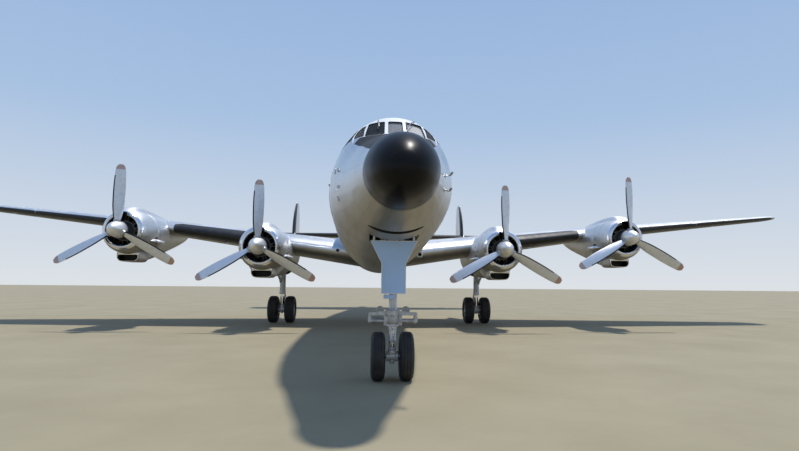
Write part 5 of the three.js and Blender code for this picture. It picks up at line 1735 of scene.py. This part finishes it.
def swing_wedge():
    """The room that a rudder needs through the tailplane on both sides of its fin."""
    reach, root = 1.5, 0.135
    wide = root + reach * tan(RUDDER_SWEEP)
    corners = ((-root, -root), (root, -root), (wide, reach), (-wide, reach))
    return slab([(OUTER_FIN_X + x, aft(HINGE_STATION + back)) for x, back in corners], 4.6, 5.6, "z")


def make_fin(name, table, x, limits, node, rudder_node):
    low, high = table[0][0], table[-1][0]
    heights = {*spread(low + 0.01, high - 0.06, 0.1), *[high - d for d in (0.04, 0.02, 0.01, 0.004, 0.0)]}
    if table is OUTER_FIN:
        heights |= {low, low + 0.004, low + 0.02, low + 0.04}
    fin = carved(fin_loft(table, x, sorted(heights), whole), fin_loft(table, x, spread(*limits, 0.2), room))
    piece(f"fin_skin_{name}", fin, TAIL_SKIN, replaces=[node])
    piece(f"fin_skin_{name}_boot", fin_loft(table, x, spread(low + 0.12, high - 0.15, 0.1), nose_band), BOOT)
    foot, top = limits
    rudder = fin_loft(table, x, spread(foot + SWING_GAP, top - SWING_GAP, 0.1), swinging)
    pin = rod((x, aft(HINGE_STATION), foot), (x, aft(HINGE_STATION), top), 0.022)
    rudder = joined([rudder, pin])
    piece(f"rudder_skin_{name}", rudder, TAIL_SKIN, body=f"rudder_{name}", replaces=[rudder_node])


def make_tail():
    wedge = swing_wedge()
    plane = tailplane_loft(spread(0.2, OUTER_FIN_X, 0.3), whole)
    plane = carved(carved(plane, tailplane_loft(spread(*ELEVATOR, 0.4), room)), wedge)
    tip = carved(tailplane_loft([*spread(OUTER_FIN_X, 7.3, 0.15), *TAILPLANE_TIP], whole), wedge)
    low, high = ELEVATOR
    ends = [(e, aft(HINGE_STATION), line(TAILPLANE, 2)(e)) for e in ELEVATOR]
    elevator = tailplane_loft(spread(low + ELEVATOR_END, high - ELEVATOR_END, 0.3), swinging)
    elevator = joined([elevator, rod(*ends, 0.022)])
    boots = joined([tailplane_loft(spread(*reach, 0.2), nose_band) for reach in ((0.75, 5.75), (6.02, 7.35))])
    for name, side in SIDES:
        body, nodes = f"elevator_{name}", (f"fin_outer_{name}", f"rudder_outer_{name}")
        make_fin(name, OUTER_FIN, side * OUTER_FIN_X, RUDDER_OUTER, *nodes)
        piece(f"tailplane_skin_{name}", plane.sided(side), TAIL_SKIN, replaces=[f"tailplane_{name}"])
        piece(f"tailplane_tip_{name}", tip.sided(side), TAIL_SKIN)
        piece(f"elevator_skin_{name}", elevator.sided(side), TAIL_SKIN, body=body, replaces=[body])
        piece(f"tailplane_boots_{name}", boots.sided(side), BOOT)
    make_fin("centre", CENTRE_FIN, 0.0, RUDDER_CENTRE, "fin_centre", "rudder_centre")
    y = aft(32.6)
    lamps = [
        bar((0, y, 7.53), (0, y, 7.56), [(0.04, 0), (0.04, 0.5), (0.02, 1)], 16),
        bar((0, aft(LENGTH - 0.06), 5.03), (0, aft(LENGTH), 5.03), [(0.035, 0), (0.03, 0.7), (0.001, 1)], 16),
    ]
    piece("tail_lamps", joined(lamps), LENS)


# Stage: camera, light and floor

def make_camera():
    level = cos(CAMERA_PITCH)
    ahead = Vector((sin(CAMERA_YAW) * level, cos(CAMERA_YAW) * level, sin(CAMERA_PITCH)))
    right = Vector((cos(CAMERA_YAW), -sin(CAMERA_YAW), 0))
    up = right.cross(ahead)
    most, tilt = cos(CAMERA_ROLL), sin(CAMERA_ROLL)
    axes = (most * right + tilt * up, most * up - tilt * right, -ahead, CAMERA_AT)
    camera = add_to_scene("camera", bpy.data.cameras.new("camera"))
    camera.data.sensor_width = SENSOR
    camera.data.lens = FOCAL_PIXELS * SENSOR / IMAGE_WIDTH
    camera.data.shift_x = 0.5 - AXIS_PIXELS / IMAGE_WIDTH
    camera.data.clip_end = 500
    camera.matrix_world = Matrix((*zip(*axes), (0, 0, 0, 1)))
    bpy.context.scene.camera = camera


def make_light():
    sun = add_to_scene("sun", bpy.data.lights.new("sun", "SUN"))
    sun.data.energy = 3.4
    sun.data.angle = radians(3)
    sun.data.color = (1.0, 0.96, 0.9)
    sun.rotation_euler = SUN_WAY.to_track_quat("Z", "Y").to_euler()
    world = bpy.data.worlds.new("sky")
    world.use_nodes = True
    tree = world.node_tree
    kinds = ("TexCoord", "SeparateXYZ", "ValToRGB")
    spot, parts, ramp = (tree.nodes.new("ShaderNode" + kind) for kind in kinds)
    background = tree.nodes["Background"]
    tree.links.new(spot.outputs["Generated"], parts.inputs[0])
    tree.links.new(parts.outputs[2], ramp.inputs[0])
    tree.links.new(ramp.outputs[0], background.inputs["Color"])
    marks = ramp.color_ramp.elements
    marks.new(0.5)
    for mark, (up, shade) in zip(marks, SKY):
        mark.position, mark.color = up, (*shade, 1.0)
    background.inputs["Strength"].default_value = 0.92
    bpy.context.scene.world = world
    bpy.context.scene.view_settings.view_transform = "Standard"


def make_floor():
    ground = bpy.data.meshes.new("ground")
    corners = [(x * FLOOR_REACH, y * FLOOR_REACH, 0) for x, y in ((-1, -1), (1, -1), (1, 1), (-1, 1))]
    ground.from_pydata(corners, [], [(0, 1, 2, 3)])
    ground.materials.append(plain("ground_paving", (0.32, 0.275, 0.175), 0.0, 0.85, 0.15, 0.4, 0.0))
    add_to_scene("ground", ground)


make_fuselage()
make_radome()
make_nose_fittings()
make_cabin_details()
make_aerials()
make_wings()
make_wing_details()
make_root_fittings()
make_engines()
make_main_gear()
make_nose_gear()
make_tail()
make_camera()
make_light()
make_floor()
